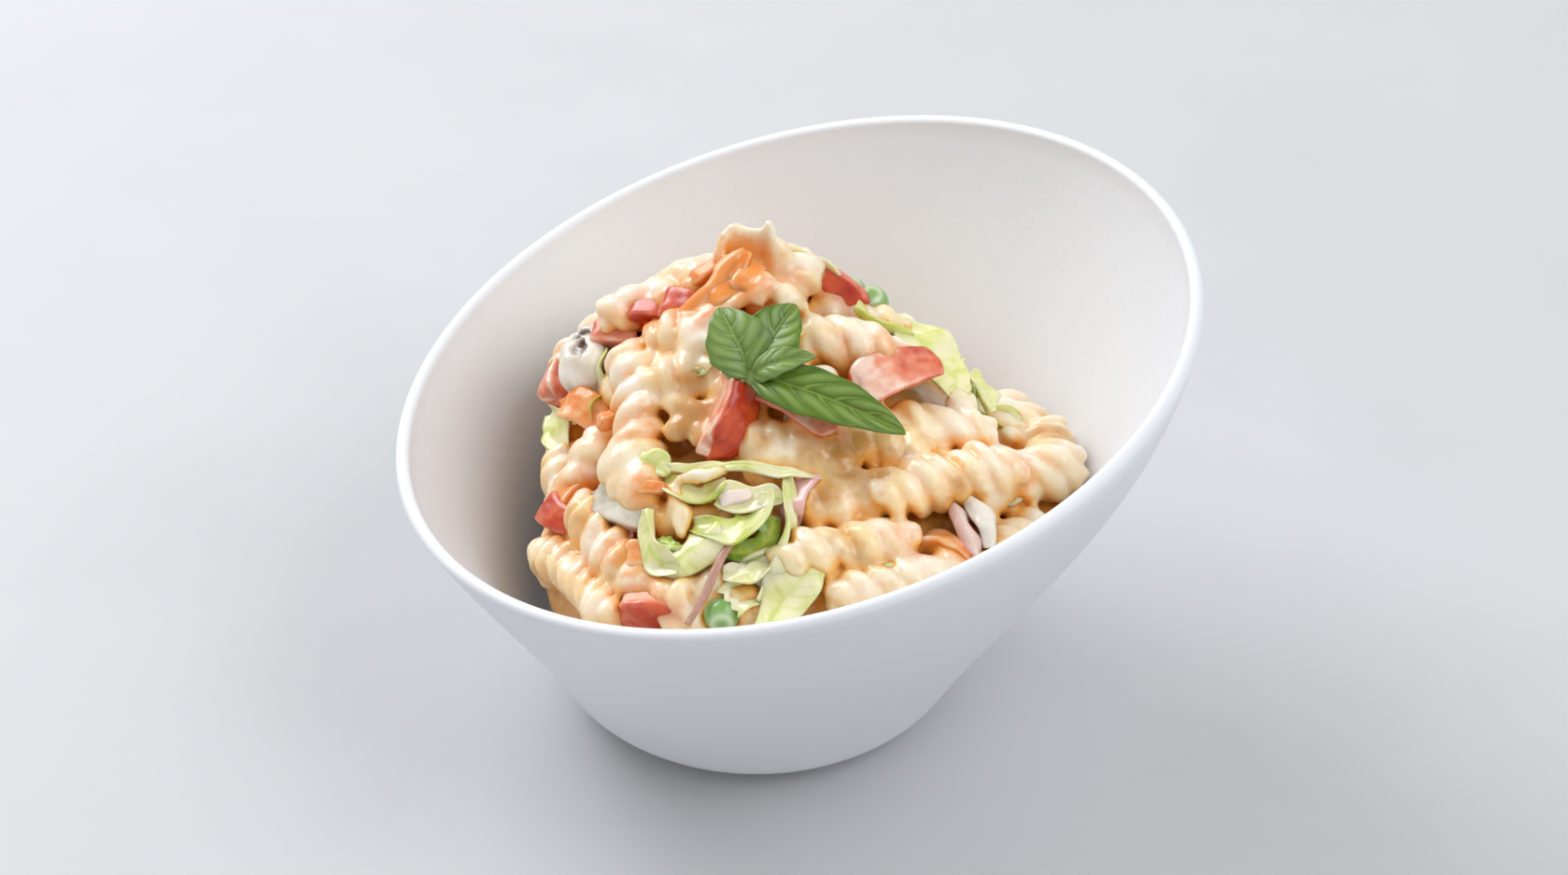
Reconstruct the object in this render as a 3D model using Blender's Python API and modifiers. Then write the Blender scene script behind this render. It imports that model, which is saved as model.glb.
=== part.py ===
"""A serving of creamy pasta salad in a white bowl with a slanting rim.

Three solids: the bowl, the heap of salad that fills it, and a basil sprig on top.
Lengths are millimetres and angles degrees; add_object() turns them into metres.
The bowl stands on z = 0, its foot centred on the Z axis, its high side towards +X.
"""
import math
import random

import bmesh
import bpy
from mathutils import Matrix, Vector
from mathutils.bvhtree import BVHTree

MM = 0.001

# Bowl: a turned body, its rim cut along a slanting plane
SEGMENTS = 48
WALL_START = 44.9
WALL_FLARE = 0.441
WALL_SWELL = 0.00407
WALL_CURL = -0.0000313
FOOT_ROUNDING = 10.0
FOOT_INSET = 14.0
WALL = 3.4
FLOOR = 5.0
INNER_ROUNDING = 16.0
INNER_INSET = 22.0
RIM_MIDDLE = 91.0
RIM_TILT = 14.1
SLIDE_FROM = 21.0
WALL_ROWS = (27, 44, 61, 77)
ROUNDED_ROWS = (0, 1, 4, 9, 15)

# Heap: how high the salad stands against the wall and how it falls from its
# peak, each at eight directions, every 45 degrees from +X
PEAK_X = -3.0
PEAK_Y = 22.0
PEAK_HEIGHT = 108.0
WALL_LEVELS = (67, 52, 44, 42, 29, 44, 58, 69)
FALLS = (1.25, 1.0, 0.8, 0.5, 0.45, 0.72, 0.95, 1.2)
PEAK_SOFTNESS = 0.10
CORE_DROP = 8.0
CORE_GAP = 0.9
CORE_WALL_SHARES = (0.5, 1.0)
CORE_TOP_SHARES = (0.14, 0.32, 0.54, 0.76, 0.92)
PIECE_GAP = 0.8
SETTLE_TRIES = 16
HEAP_FACES = 9600
SPRIG_FACES = 900

# Pasta twists
TWIST_VALLEY_SHARE = 0.35
TWIST_PITCH_SHARE = 2.7
TWIST_RING_TURN = 45.0
BLADES = 3
FOLLOW = None

# Each twist: x, y, heading, rise (FOLLOW lies along the slope), lift, length, radius,
# how far its middle bows out, and how open its ridges are, from 0 (filled with dressing) to 1
TWISTS = (
    (-2, 21, 100, 80, -12, 34, 5.8, 0, 1.0),
    (-23, 25, 6, 14, -6.5, 26, 5.8, 1, 0.5),
    (-17, 8, -40, 15, -5, 19, 5.6, 1, 0.8),
    (-29, -6, 88, 21, -4.5, 41, 6.8, -3.5, 0.55),
    (-41, -35, -60, 8, -4.5, 36, 5.8, 1, 0.8),
    (-34, -31, -66, -4, -5, 30, 6.5, 0, 0.7),
    (-39.5, -6, 38, 38, -5, 22, 5.8, 0, 0.6),
    (25, 21, -10, -12, -5.5, 26, 5.9, 1, 0.5),
    (21, 4, -8, -12, -4.5, 28, 6.8, 1, 0.45),
    (43.5, -28, 21, 1, -1.2, 35, 7.2, 0, 0.8),
    (68, -4, 78, -6, -5, 24, 6.4, 1, 0.8),
    (63, -22, 34, -3, -3.8, 33, 6.8, 1, 0.4),
    (20, -46, 13, 2, -4.3, 32, 6.4, 1, 0.6),
    (32, -52, 16, 2, -5, 31, 6.4, -1, 0.5),
    (35, -57, 22, 2, -8, 30, 6.4, 0, 0.6),
    (41, -10, 4, -7, -5.5, 26, 6.6, 0, 0.6),
    (27, -19, -12, -9, -6, 25, 6.2, 1, 0.5),
    (21, -32, 13, 0, -7, 28, 6.2, 0, 0.2),
    (9, -22, -14, -4, -6.6, 28, 6.0, 0, 0.2),
    (-15, -2, -10, 12, -6.5, 21, 5.8, 0, 0.3),
    (-22, -45, -45, 0, -6.5, 22, 5.8, 0, 0.6),
    (59, 6, 50, -10, -9.5, 24, 5.6, 0, 0.6),
    (7, 20, 55, 10, -6.5, 20, 5.6, 1, 0.5),
    (-18, 57, 10, FOLLOW, -5, 31, 6.5, 1, 0.8),
    (-38, 42, 48, FOLLOW, -9, 28, 6.3, 1, 0.8),
    (-9, 45, -4, FOLLOW, -6, 32, 6.5, -1, 0.6),
    (-27, 39, 30, FOLLOW, -9.5, 30, 6.4, 0, 0.8),
    (60, -43, 50, 0, -8, 30, 6.5, 0, 0.6),
    (48, -18, 12, -4, -8, 30, 6.4, 0, 0.5),
    (13, 56, -8, FOLLOW, -5, 30, 6.6, 1, 0.8),
    (37, 29, 40, FOLLOW, -9, 26, 6.4, 1, 0.7),
    (-5, 37, 12, FOLLOW, -8, 28, 6.4, 0, 0.7),
    (15, 44, -22, FOLLOW, -6, 28, 6.4, -1, 0.7),
    (54, 26, 15, FOLLOW, -12, 28, 6.4, 0, 0.7),
    (71, 14, 75, FOLLOW, -10, 24, 6.2, 0, 0.7),
    (-1, -6, 30, FOLLOW, -8.5, 24, 6.0, 0, 0.4),
    (-8, -33, -10, FOLLOW, -9, 28, 6.2, 0, 0.4),
    (-5, -52, 5, FOLLOW, -9, 30, 6.2, 0, 0.4),
)

# Wedges and chunks: x, y, heading, rise, lift, length, width, height
TOMATO = (
    (-7.5, -13, 75, FOLLOW, -0.5, 27, 12, 8),
    (9.5, -15.5, -40, -10, -0.5, 21, 15, 8),
    (32, -4, 28, 0, 0.5, 22, 13, 9),
    (17, 27, -25, -20, -1, 18, 12, 9),
    (-25.5, 20, -30, 20, -2.5, 10, 8, 8),
    (-18, 16, -30, 20, -2, 11, 9, 8),
    (-45, -17, -60, 10, -1, 12, 10, 10),
    (-24, -50.5, -18, 10, -3.5, 15, 12, 9),
    (-47.5, 28, 80, 10, -2, 14, 8, 8),
    (-34, 22, -25, 10, -3, 12, 7, 7),
)
CARROT = (
    (-6, 12, 10, FOLLOW, -3.5, 12, 8, 7),
    (-40, 6, -45, -5, -2, 18, 10, 8),
    (-42, -14, 40, 20, -2, 10, 6, 6),
    (42, -44, -30, 0, -3.5, 13, 9, 7),
    (-25, -40, 0, 0, -2.5, 10, 8, 6),
    (-34, -5, 20, 10, 2.0, 6, 4, 4),
    (-24, -29, -10, 10, 1.5, 7, 4, 4),
    (-1.5, 13.5, 60, FOLLOW, -1.5, 9, 7, 5),
    (-3.5, 16.5, 70, 40, -1.5, 9, 6, 5),
    (-12, 20, 10, FOLLOW, -1.5, 8, 5, 4),
)
# Mushroom, olive and onion: the same shape, paler in the finished scene
PALE = (
    (-40, 21, 80, 20, -2.5, 16, 12, 12),
    (-31.5, -26.5, -47, FOLLOW, -1.5, 19, 11, 6),
    (51, -37, 66, FOLLOW, -2, 15, 10, 8),
    (11, -36, 60, FOLLOW, -1.5, 12, 7, 7),
    (-5, -36, 5, FOLLOW, 0.5, 8, 4, 3),
)
# Lettuce and cabbage leaves: x, y, heading, rise, lift, length, width
LEAVES = (
    (-47, 7, 75, 45, -3, 17, 9),
    (-3.5, -27, -9, 1, -1, 28, 8),
    (-5, -40, -14, 6, -0.5, 20, 12),
    (-17, -43.5, -18, 8, -1, 20, 13),
    (6.5, -44, 80, 32, 0.5, 25, 6),
    (8, -56, 30, 15, -2, 26, 10),
    (38, 17, -14, -14, -3, 22, 9),
    (47, 5, 75, 20, -1, 18, 10),
    (15, 33, -10, -10, 1, 20, 11),
    (30, 11, 10, FOLLOW, -4, 20, 10),
    (-2, -34, -12, FOLLOW, -3, 24, 9),
    (2, -51, 30, FOLLOW, -3, 20, 11),
    (4, 1, 20, FOLLOW, -3, 20, 10),
    (-38, 13, 80, FOLLOW, -3, 18, 10),
    (-18.5, -22.5, 10, 10, 0.5, 11, 7),
    (54, 4, 10, FOLLOW, -6, 17, 9),
    (27, 30, -30, -20, -3, 15, 9),
    (30, -53.5, -15, -8, -0.5, 9, 4),
)
# Peas: x, y, lift
PEAS = (
    (-7.5, -56, -4.5),
    (27, 27, -3),
    (22, 31, -3),
)
PEA_RADIUS = 4.2

# The thin strip of onion at the front: its two ends, x, y, lift
STRIP_ENDS = ((-5, -45, 1.0), (-15, -60, 1.0))
STRIP_RADIUS = 1.1

# What fills the rest of the heap, where no listed piece lies
FILL_SEED = 11
FILL_SPACING = 13.0
FILL_TRIES = 900
FILL_EDGE = 7.0
FILL_FROM_Y = 34.0
FILL_LIFT = -6.0
FILL_LEAF_RISE = 4.0
FILL_TWIST_LENGTH = 32
FILL_TWIST_RADIUS = 6.5

# Basil sprig, laid out in its own plane: X to the right, Y up the slope
SPRIG_X = -1.0
SPRIG_Y = -13.0
SPRIG_LEAN = 27.0
SPRIG_TURN = -4.0
SPRIG_GAP = 0.4
LEAF_THICKNESS = 0.8
STEM_RADIUS = 0.8
# Each leaf: heading, length, width, rise, fold, droop of its tip
BASIL = (
    (121, 18, 13, 16, 16, 3.0),
    (58, 20, 13.5, 12, 18, 3.0),
    (24, 13, 5.5, 26, 24, 2.0),
    (-20, 38.0, 12.5, 6, 14, 3.5),
)


def clear_scene():
    """Remove what a new Blender file holds."""
    for item in list(bpy.data.objects):
        bpy.data.objects.remove(item)


def make_material(name, colour, roughness):
    """A plain Principled material."""
    material = bpy.data.materials.new(name)
    material.use_nodes = True
    shader = material.node_tree.nodes["Principled BSDF"]
    shader.inputs["Base Color"].default_value = (*colour, 1)
    shader.inputs["Roughness"].default_value = roughness
    shader.inputs["Metallic"].default_value = 0
    return material


def add_object(name, bm, collection, material=None):
    """Turn a mesh in millimetres into an object in metres."""
    mesh = bpy.data.meshes.new(name)
    bmesh.ops.recalc_face_normals(bm, faces=bm.faces)
    bm.transform(Matrix.Scale(MM, 4))
    bm.to_mesh(mesh)
    bm.free()
    item = bpy.data.objects.new(name, mesh)
    collection.objects.link(item)
    if material:
        mesh.materials.append(material)
    return item


def smooth(item):
    """Shade the faces smooth, with the real edges kept sharp."""
    item.data.shade_smooth()
    item.data.set_sharp_from_angle(angle=math.radians(50))


def loft(rings):
    """A closed body through rings of points, its two ends closed by fans."""
    bm = bmesh.new()
    rows = [[bm.verts.new(point) for point in ring] for ring in rings]
    count = len(rows[0])
    for low, high in zip(rows, rows[1:]):
        for i in range(count):
            j = (i + 1) % count
            bm.faces.new((low[i], low[j], high[j], high[i]))
    for row in (rows[0], rows[-1]):
        middle = sum((v.co for v in row), Vector()) / count
        centre = bm.verts.new(middle)
        for i in range(count):
            bm.faces.new((row[i], row[(i + 1) % count], centre))
    bmesh.ops.triangulate(bm, faces=bm.faces)
    return bm


def quarter_round(height, rounding, inset):
    """How far a rounded bottom edge draws in at a height above its start."""
    if height >= rounding:
        return 0.0
    share = 1 - max(0.0, height) / rounding
    return inset * (1 - math.sqrt(1 - share * share))


def wall_radius(z):
    """Radius of the outside, before its bottom edge is rounded."""
    return WALL_START + z * (WALL_FLARE + z * (WALL_SWELL + z * WALL_CURL))


def outer_radius(z):
    """Radius of the outside of the bowl at a height."""
    return wall_radius(z) - quarter_round(z, FOOT_ROUNDING, FOOT_INSET)


def inner_radius(z):
    """Radius of the inside of the bowl at a height."""
    plain = wall_radius(max(z, FOOT_ROUNDING)) - WALL
    return plain - quarter_round(z - FLOOR, INNER_ROUNDING, INNER_INSET)


def rim_height(theta):
    """Height of the top of the lip in a direction."""
    slope = math.tan(math.radians(RIM_TILT))
    height = RIM_MIDDLE
    for _ in range(8):
        height = RIM_MIDDLE + slope * (wall_radius(height) - WALL / 2) * math.cos(theta)
    return height


def bowl_profile():
    """Half section of the upright blank: up the inside, over the lip, down the outside."""
    half = WALL / 2
    shoulder = RIM_MIDDLE - half
    points = [(0.0, FLOOR)]
    points += [(inner_radius(FLOOR + z), FLOOR + z) for z in ROUNDED_ROWS]
    points += [(inner_radius(z), z) for z in (*WALL_ROWS, shoulder)]
    lip_radius = wall_radius(shoulder) - half
    for angle in (135, 90, 45):
        turn = math.radians(angle)
        points.append((lip_radius + half * math.cos(turn), shoulder + half * math.sin(turn)))
    points += [(outer_radius(z), z) for z in (shoulder, *reversed(WALL_ROWS))]
    points += [(outer_radius(z), z) for z in reversed(ROUNDED_ROWS)]
    points.append((0.0, 0.0))
    return points


def make_bowl(collection, material):
    """Turn the blank, then slide its rows up or down so that the rim slants."""
    bm = bmesh.new()
    line = [bm.verts.new((x, 0, z)) for x, z in bowl_profile()]
    for low, high in zip(line, line[1:]):
        bm.edges.new((low, high))
    bowl = add_object("bowl", bm, collection, material)
    screw = bowl.modifiers.new("turned", "SCREW")
    screw.steps = SEGMENTS
    screw.render_steps = SEGMENTS
    screw.use_merge_vertices = True
    screw.merge_threshold = 0.00001
    shaped = apply_modifiers(bowl)
    for vertex in shaped.vertices:
        x, y, z = (value / MM for value in vertex.co)
        radius = math.hypot(x, y)
        if radius < 1 or z <= SLIDE_FROM:
            continue
        theta = math.atan2(y, x)
        share = min(1.0, (z - SLIDE_FROM) / (RIM_MIDDLE - WALL / 2 - SLIDE_FROM))
        height = z + share * (rim_height(theta) - RIM_MIDDLE)
        grown = radius + wall_radius(height) - wall_radius(z)
        vertex.co = Vector((grown * math.cos(theta), grown * math.sin(theta), height)) * MM
    smooth(bowl)
    return bowl


def apply_modifiers(item):
    """Replace an object's mesh by what its modifiers make of it."""
    depsgraph = bpy.context.evaluated_depsgraph_get()
    mesh = bpy.data.meshes.new_from_object(item.evaluated_get(depsgraph))
    item.modifiers.clear()
    item.data = mesh
    return mesh


def around(values, theta):
    """Smooth curve through values that stand at equal steps round the circle."""
    place = (math.degrees(theta) % 360) / 360 * len(values)
    i = int(place)
    f = place - i
    a, b, c, d = (values[(i + step) % len(values)] for step in (-1, 0, 1, 2))
    return b + 0.5 * f * (c - a + f * (2 * a - 5 * b + 4 * c - d + f * (3 * (b - c) + d - a)))


def reach(ux, uy):
    """Distance from the peak to the wall in a direction, and the level there."""
    along = PEAK_X * ux + PEAK_Y * uy
    distance = 70.0
    for _ in range(4):
        level = around(WALL_LEVELS, math.atan2(PEAK_Y + uy * distance, PEAK_X + ux * distance))
        rest = PEAK_X ** 2 + PEAK_Y ** 2 - inner_radius(level) ** 2
        distance = math.sqrt(along * along - rest) - along
    return distance, level


def mound(x, y):
    """Height of the smooth skin that the salad's pieces reach up to."""
    dx, dy = x - PEAK_X, y - PEAK_Y
    away = max(0.001, math.hypot(dx, dy))
    distance, level = reach(dx / away, dy / away)
    soft = math.hypot(1, PEAK_SOFTNESS) - PEAK_SOFTNESS
    share = (math.hypot(min(1.0, away / distance), PEAK_SOFTNESS) - PEAK_SOFTNESS) / soft
    return level + (PEAK_HEIGHT - level) * (1 - share) ** around(FALLS, math.atan2(dy, dx))


def mound_slope(x, y):
    """Gradient of the mound, read over a few millimetres."""
    step = 2.0
    gx = (mound(x + step, y) - mound(x - step, y)) / (2 * step)
    gy = (mound(x, y + step) - mound(x, y - step)) / (2 * step)
    return gx, gy


def placed(x, y, heading, rise, lift, roll=0.0):
    """Where a piece lies: its long axis, its up side and its middle on the mound."""
    gx, gy = mound_slope(x, y)
    turn = math.radians(heading)
    cx, cy = math.cos(turn), math.sin(turn)
    climb = gx * cx + gy * cy if rise is FOLLOW else math.tan(math.radians(rise))
    along = Vector((cx, cy, climb)).normalized()
    up = Vector((-gx, -gy, 1))
    side = up.cross(along).normalized()
    up = along.cross(side)
    matrix = Matrix((along, side, up)).transposed().to_4x4()
    matrix.translation = Vector((x, y, mound(x, y) + lift))
    return matrix @ Matrix.Rotation(math.radians(roll), 4, "X")


def make_core():
    """The plain body under the pieces: it fills the bowl up to below the mound."""
    angles = [2 * math.pi * i / SEGMENTS for i in range(SEGMENTS)]
    rings = []
    for row in ROUNDED_ROWS:
        radius = inner_radius(FLOOR + row) - CORE_GAP
        z = FLOOR + row + CORE_GAP
        rings.append([Vector((radius * math.cos(a), radius * math.sin(a), z)) for a in angles])
    start = FLOOR + ROUNDED_ROWS[-1] + CORE_GAP
    for share in CORE_WALL_SHARES:
        ring = []
        for angle in angles:
            z = start + share * (around(WALL_LEVELS, angle) - CORE_DROP - start)
            radius = inner_radius(z) - CORE_GAP
            ring.append(Vector((radius * math.cos(angle), radius * math.sin(angle), z)))
        rings.append(ring)
    edge = rings[-1]
    for share in CORE_TOP_SHARES:
        ring = []
        for point in edge:
            x = point.x + share * (PEAK_X - point.x)
            y = point.y + share * (PEAK_Y - point.y)
            ring.append(Vector((x, y, mound(x, y) - CORE_DROP)))
        rings.append(ring)
    return loft(rings)


def twist_blank(length, radius, bend, ridges, rng):
    """One pasta twist along X: a three-bladed section that turns as it goes."""
    pitch = TWIST_PITCH_SHARE * radius * rng.uniform(0.85, 1.1)
    start = rng.uniform(0, 120)
    valley = radius * (1 - TWIST_VALLEY_SHARE * ridges)
    steps = max(4, round(length / pitch * 360 / TWIST_RING_TURN))
    rings = []
    for step in range(steps + 1):
        share = step / steps
        x = (share - 0.5) * length
        offset = bend * (1 - (2 * share - 1) ** 2)
        ring = []
        for i in range(2 * BLADES):
            turn = math.radians(start + 360 * share * length / pitch + 180 * i / BLADES)
            reach_out = radius if i % 2 == 0 else valley
            ring.append(Vector((x, offset + reach_out * math.cos(turn), reach_out * math.sin(turn))))
        rings.append(ring)
    return loft(rings)


def chunk_blank(length, width, height, rng):
    """One cut vegetable piece: a block with uneven faces, thinner at one end."""
    bm = bmesh.new()
    bmesh.ops.create_cube(bm, size=1)
    for vertex in bm.verts:
        taper = 1 - 0.22 * (vertex.co.x + 0.5)
        vertex.co.y *= taper
        vertex.co.z *= taper
        vertex.co += Vector([rng.uniform(-0.07, 0.07) for _ in range(3)])
    bmesh.ops.bevel(bm, geom=bm.edges, offset=0.1, segments=1, affect="EDGES")
    bm.transform(Matrix.Diagonal((length, width, height, 1)))
    bmesh.ops.triangulate(bm, faces=bm.faces)
    return bm


def leaf_blank(length, width, rng):
    """One shred of lettuce: a thin wavy sheet, split alike on both faces."""
    across, along, half = 3, 7, 0.55
    phase = rng.uniform(0, 6)
    swing = rng.uniform(0.8, 1.3)
    bm = bmesh.new()
    sheets = []
    for side in (half, -half):
        sheet = []
        for i in range(along + 1):
            u = i / along - 0.5
            taper = 1 - 1.3 * u * u
            row = []
            for j in range(across + 1):
                v = j / across - 0.5
                wave = swing * math.sin(9 * u + phase + 2 * v) + 5 * v * v
                row.append(bm.verts.new((u * length, v * width * taper, wave + side)))
            sheet.append(row)
        sheets.append(sheet)
    close_sheets(bm, *sheets)
    return bm


def close_sheets(bm, top, bottom):
    """Join two like grids of points into one thin body, both split the same way."""
    rows, columns = len(top), len(top[0])
    for i in range(rows - 1):
        for j in range(columns - 1):
            for sheet, order in ((top, 1), (bottom, -1)):
                a, b = sheet[i][j], sheet[i + 1][j]
                c, d = sheet[i + 1][j + 1], sheet[i][j + 1]
                bm.faces.new((a, b, c)[::order])
                bm.faces.new((a, c, d)[::order])
    edge = [(i, 0) for i in range(rows)] + [(rows - 1, j) for j in range(1, columns)]
    edge += [(i, columns - 1) for i in range(rows - 2, -1, -1)]
    edge += [(0, j) for j in range(columns - 2, 0, -1)]
    for (i, j), (k, m) in zip(edge, edge[1:] + edge[:1]):
        bm.faces.new((top[k][m], top[i][j], bottom[i][j]))
        bm.faces.new((top[k][m], bottom[i][j], bottom[k][m]))


def pea_blank():
    """One pea."""
    bm = bmesh.new()
    bmesh.ops.create_icosphere(bm, subdivisions=2, radius=PEA_RADIUS)
    return bm


def strip_blank(length):
    """The thin onion strip: a six-sided rod along X."""
    bm = bmesh.new()
    turn = Matrix.Rotation(math.radians(90), 4, "Y")
    bmesh.ops.create_cone(bm, cap_ends=True, segments=6, radius1=STRIP_RADIUS,
                          radius2=STRIP_RADIUS * 0.8, depth=length, matrix=turn)
    return bm


def overhang(bm, matrix):
    """How far a piece's worst point would poke into the bowl's wall."""
    flat = math.cos(math.pi / SEGMENTS)
    worst = 0.0
    for vertex in bm.verts:
        x, y, z = matrix @ vertex.co
        room = inner_radius(max(z, FLOOR + 1)) * flat - PIECE_GAP
        worst = max(worst, math.hypot(x, y) - room)
    return worst


def settled(bm, x, y, heading, rise, lift):
    """Where a piece lies once it is moved up the mound until the bowl is clear of it."""
    for _ in range(SETTLE_TRIES):
        matrix = placed(x, y, heading, rise, lift)
        excess = overhang(bm, matrix)
        if excess <= 0:
            return matrix
        way = Vector((PEAK_X - x, PEAK_Y - y)).normalized() * (excess + 0.3)
        x, y = x + way.x, y + way.y
    return None


def place_piece(name, bm, matrix, pieces):
    """Put a piece in the heap, unless the bowl leaves no room for it."""
    if matrix is None or overhang(bm, matrix) > 0:
        bm.free()
        return
    bm.transform(matrix)
    add_object(name, bm, pieces)


def on_mound(x, y):
    """The point of the mound over a place."""
    return Vector((x, y, mound(x, y)))


def listed_spots():
    """Where the listed pieces lie, so that the filling keeps off them."""
    rows = TWISTS + TOMATO + CARROT + PALE + LEAVES + PEAS
    return [on_mound(row[0], row[1]) for row in rows]


def fill_spots(rng):
    """Spots for the unlisted pieces: spread evenly over what is still bare."""
    taken = listed_spots()
    found = []
    for _ in range(FILL_TRIES):
        angle = rng.uniform(0, 2 * math.pi)
        distance, _level = reach(math.cos(angle), math.sin(angle))
        away = math.sqrt(rng.random()) * (distance - FILL_EDGE)
        spot = on_mound(PEAK_X + away * math.cos(angle), PEAK_Y + away * math.sin(angle))
        if spot.y > FILL_FROM_Y and all((spot - other).length > FILL_SPACING for other in taken):
            taken.append(spot)
            found.append((spot.x, spot.y))
    return found


def scatter_listed(pieces, rng):
    """Make the pieces that have a place of their own."""
    for i, (x, y, heading, rise, lift, length, radius, bend, ridges) in enumerate(TWISTS):
        blank = twist_blank(length, radius, bend, ridges, rng)
        place_piece(f"twist_{i}", blank, settled(blank, x, y, heading, rise, lift), pieces)
    for i, row in enumerate(TOMATO + CARROT + PALE):
        x, y, heading, rise, lift, length, width, height = row
        blank = chunk_blank(length, width, height, rng)
        place_piece(f"chunk_{i}", blank, settled(blank, x, y, heading, rise, lift), pieces)
    for i, (x, y, heading, rise, lift, length, width) in enumerate(LEAVES):
        blank = leaf_blank(length, width, rng)
        place_piece(f"shred_{i}", blank, settled(blank, x, y, heading, rise, lift), pieces)
    for i, (x, y, lift) in enumerate(PEAS):
        blank = pea_blank()
        place_piece(f"pea_{i}", blank, settled(blank, x, y, 0, 0, lift), pieces)


def strip_matrix():
    """Where the onion strip lies, and how long it is."""
    high, low = (Vector((x, y, mound(x, y) + lift)) for x, y, lift in STRIP_ENDS)
    run = low - high
    matrix = Matrix.Translation((high + low) / 2) @ run.to_track_quat("X", "Z").to_matrix().to_4x4()
    return matrix, run.length


def scatter_filling(pieces, rng):
    """Cover what the listed pieces leave bare, at the back."""
    for i, (x, y) in enumerate(fill_spots(rng)):
        heading = rng.uniform(0, 180)
        kind = i % 6
        lift = FILL_LIFT
        if kind == 1:
            blank = chunk_blank(13, 9, 9, rng)
        elif kind == 3:
            blank = leaf_blank(22, 11, rng)
            lift += FILL_LEAF_RISE
        else:
            blank = twist_blank(FILL_TWIST_LENGTH, FILL_TWIST_RADIUS, 1, 0.8, rng)
        place_piece(f"filling_{i}", blank, settled(blank, x, y, heading, FOLLOW, lift), pieces)


def keep_largest_body(item):
    """Drop loose scraps and fill sealed hollows: only the largest shell stays."""
    bm = bmesh.new()
    bm.from_mesh(item.data)
    bm.verts.ensure_lookup_table()
    seen = set()
    shells = []
    for start in bm.verts:
        if start in seen:
            continue
        seen.add(start)
        shell, front = [start], [start]
        while front:
            vertex = front.pop()
            for edge in vertex.link_edges:
                other = edge.other_vert(vertex)
                if other not in seen:
                    seen.add(other)
                    shell.append(other)
                    front.append(other)
        shells.append(shell)
    largest = max(shells, key=len)
    loose = [vertex for shell in shells if shell is not largest for vertex in shell]
    bmesh.ops.delete(bm, geom=loose, context="VERTS")
    bmesh.ops.triangulate(bm, faces=bm.faces)
    bm.to_mesh(item.data)
    bm.free()


def fuse(item, pieces, faces):
    """Join a collection of pieces onto an object with one Boolean union.

    The slivers along the seams are then collapsed, down to a number of triangles.
    """
    union = item.modifiers.new("fused", "BOOLEAN")
    union.operation = "UNION"
    union.operand_type = "COLLECTION"
    union.collection = pieces
    apply_modifiers(item)
    for piece in list(pieces.objects):
        bpy.data.objects.remove(piece)
    bpy.data.collections.remove(pieces)
    keep_largest_body(item)
    thin = item.modifiers.new("fewer sides", "DECIMATE")
    thin.ratio = min(1.0, faces / len(item.data.polygons))
    thin.use_collapse_triangulate = True
    apply_modifiers(item)


def make_heap(collection, material):
    """The salad: its core with the showing pieces fused on."""
    rng = random.Random(FILL_SEED)
    pieces = bpy.data.collections.new("salad pieces")
    bpy.context.scene.collection.children.link(pieces)
    heap = add_object("salad_heap", make_core(), collection, material)
    scatter_listed(pieces, rng)
    matrix, length = strip_matrix()
    place_piece("strip", strip_blank(length), matrix, pieces)
    scatter_filling(pieces, rng)
    fuse(heap, pieces, HEAP_FACES)
    heap.data.materials.clear()
    heap.data.materials.append(material)
    smooth(heap)
    return heap


def basil_leaf(length, width, fold, droop):
    """One basil leaf along X from its stalk: cupped, folded along its midrib."""
    across, along = 4, 9
    bm = bmesh.new()
    sheets = []
    for side in (LEAF_THICKNESS / 2, -LEAF_THICKNESS / 2):
        sheet = []
        for i in range(along + 1):
            u = i / along
            spread = math.sin(math.pi * (0.05 + 0.90 * u ** 0.82)) ** 0.75
            row = []
            for j in range(across + 1):
                v = 2 * j / across - 1
                y = v * spread * width / 2
                rise = math.tan(math.radians(fold)) * abs(y) - 1.3 * (y / width * 2) ** 2
                z = rise + 0.35 * math.sin(7 * u + 2 * v) - droop * (2 * u - 0.8) ** 2
                row.append(bm.verts.new((u * length, y, z + droop * 0.64 + side)))
            sheet.append(row)
        sheets.append(sheet)
    close_sheets(bm, *sheets)
    return bm


def sprig_matrix(height):
    """The plane of the sprig: leaning with the front of the heap."""
    turn = Matrix.Rotation(math.radians(SPRIG_TURN), 4, "Z")
    lean = Matrix.Rotation(math.radians(SPRIG_LEAN), 4, "X")
    return Matrix.Translation((SPRIG_X, SPRIG_Y, height)) @ turn @ lean


def make_sprig(collection, material, heap):
    """The basil sprig, one solid: its leaves joined by the stem, resting on the heap."""
    start = sprig_matrix(mound(SPRIG_X, SPRIG_Y))
    leaves = bpy.data.collections.new("basil leaves")
    bpy.context.scene.collection.children.link(leaves)
    for i, (heading, length, width, rise, fold, droop) in enumerate(BASIL):
        turn = Matrix.Rotation(math.radians(heading), 4, "Z")
        tilt = Matrix.Rotation(math.radians(-rise), 4, "Y")
        bm = basil_leaf(length, width, fold, droop)
        bm.transform(start @ turn @ tilt)
        add_object(f"leaf_{i}", bm, leaves)
    stem = bmesh.new()
    bmesh.ops.create_uvsphere(stem, u_segments=10, v_segments=6, radius=1.0)
    stem.transform(Matrix.Diagonal((2.6 * STEM_RADIUS, 3.4 * STEM_RADIUS, 1.6 * STEM_RADIUS, 1)))
    stem.transform(start @ Matrix.Translation((0.4, 0.2, 0.2)))
    sprig = add_object("basil_sprig", stem, collection, material)
    fuse(sprig, leaves, SPRIG_FACES)
    rest_on(sprig, heap)
    sprig.data.materials.clear()
    sprig.data.materials.append(material)
    smooth(sprig)
    return sprig


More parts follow.
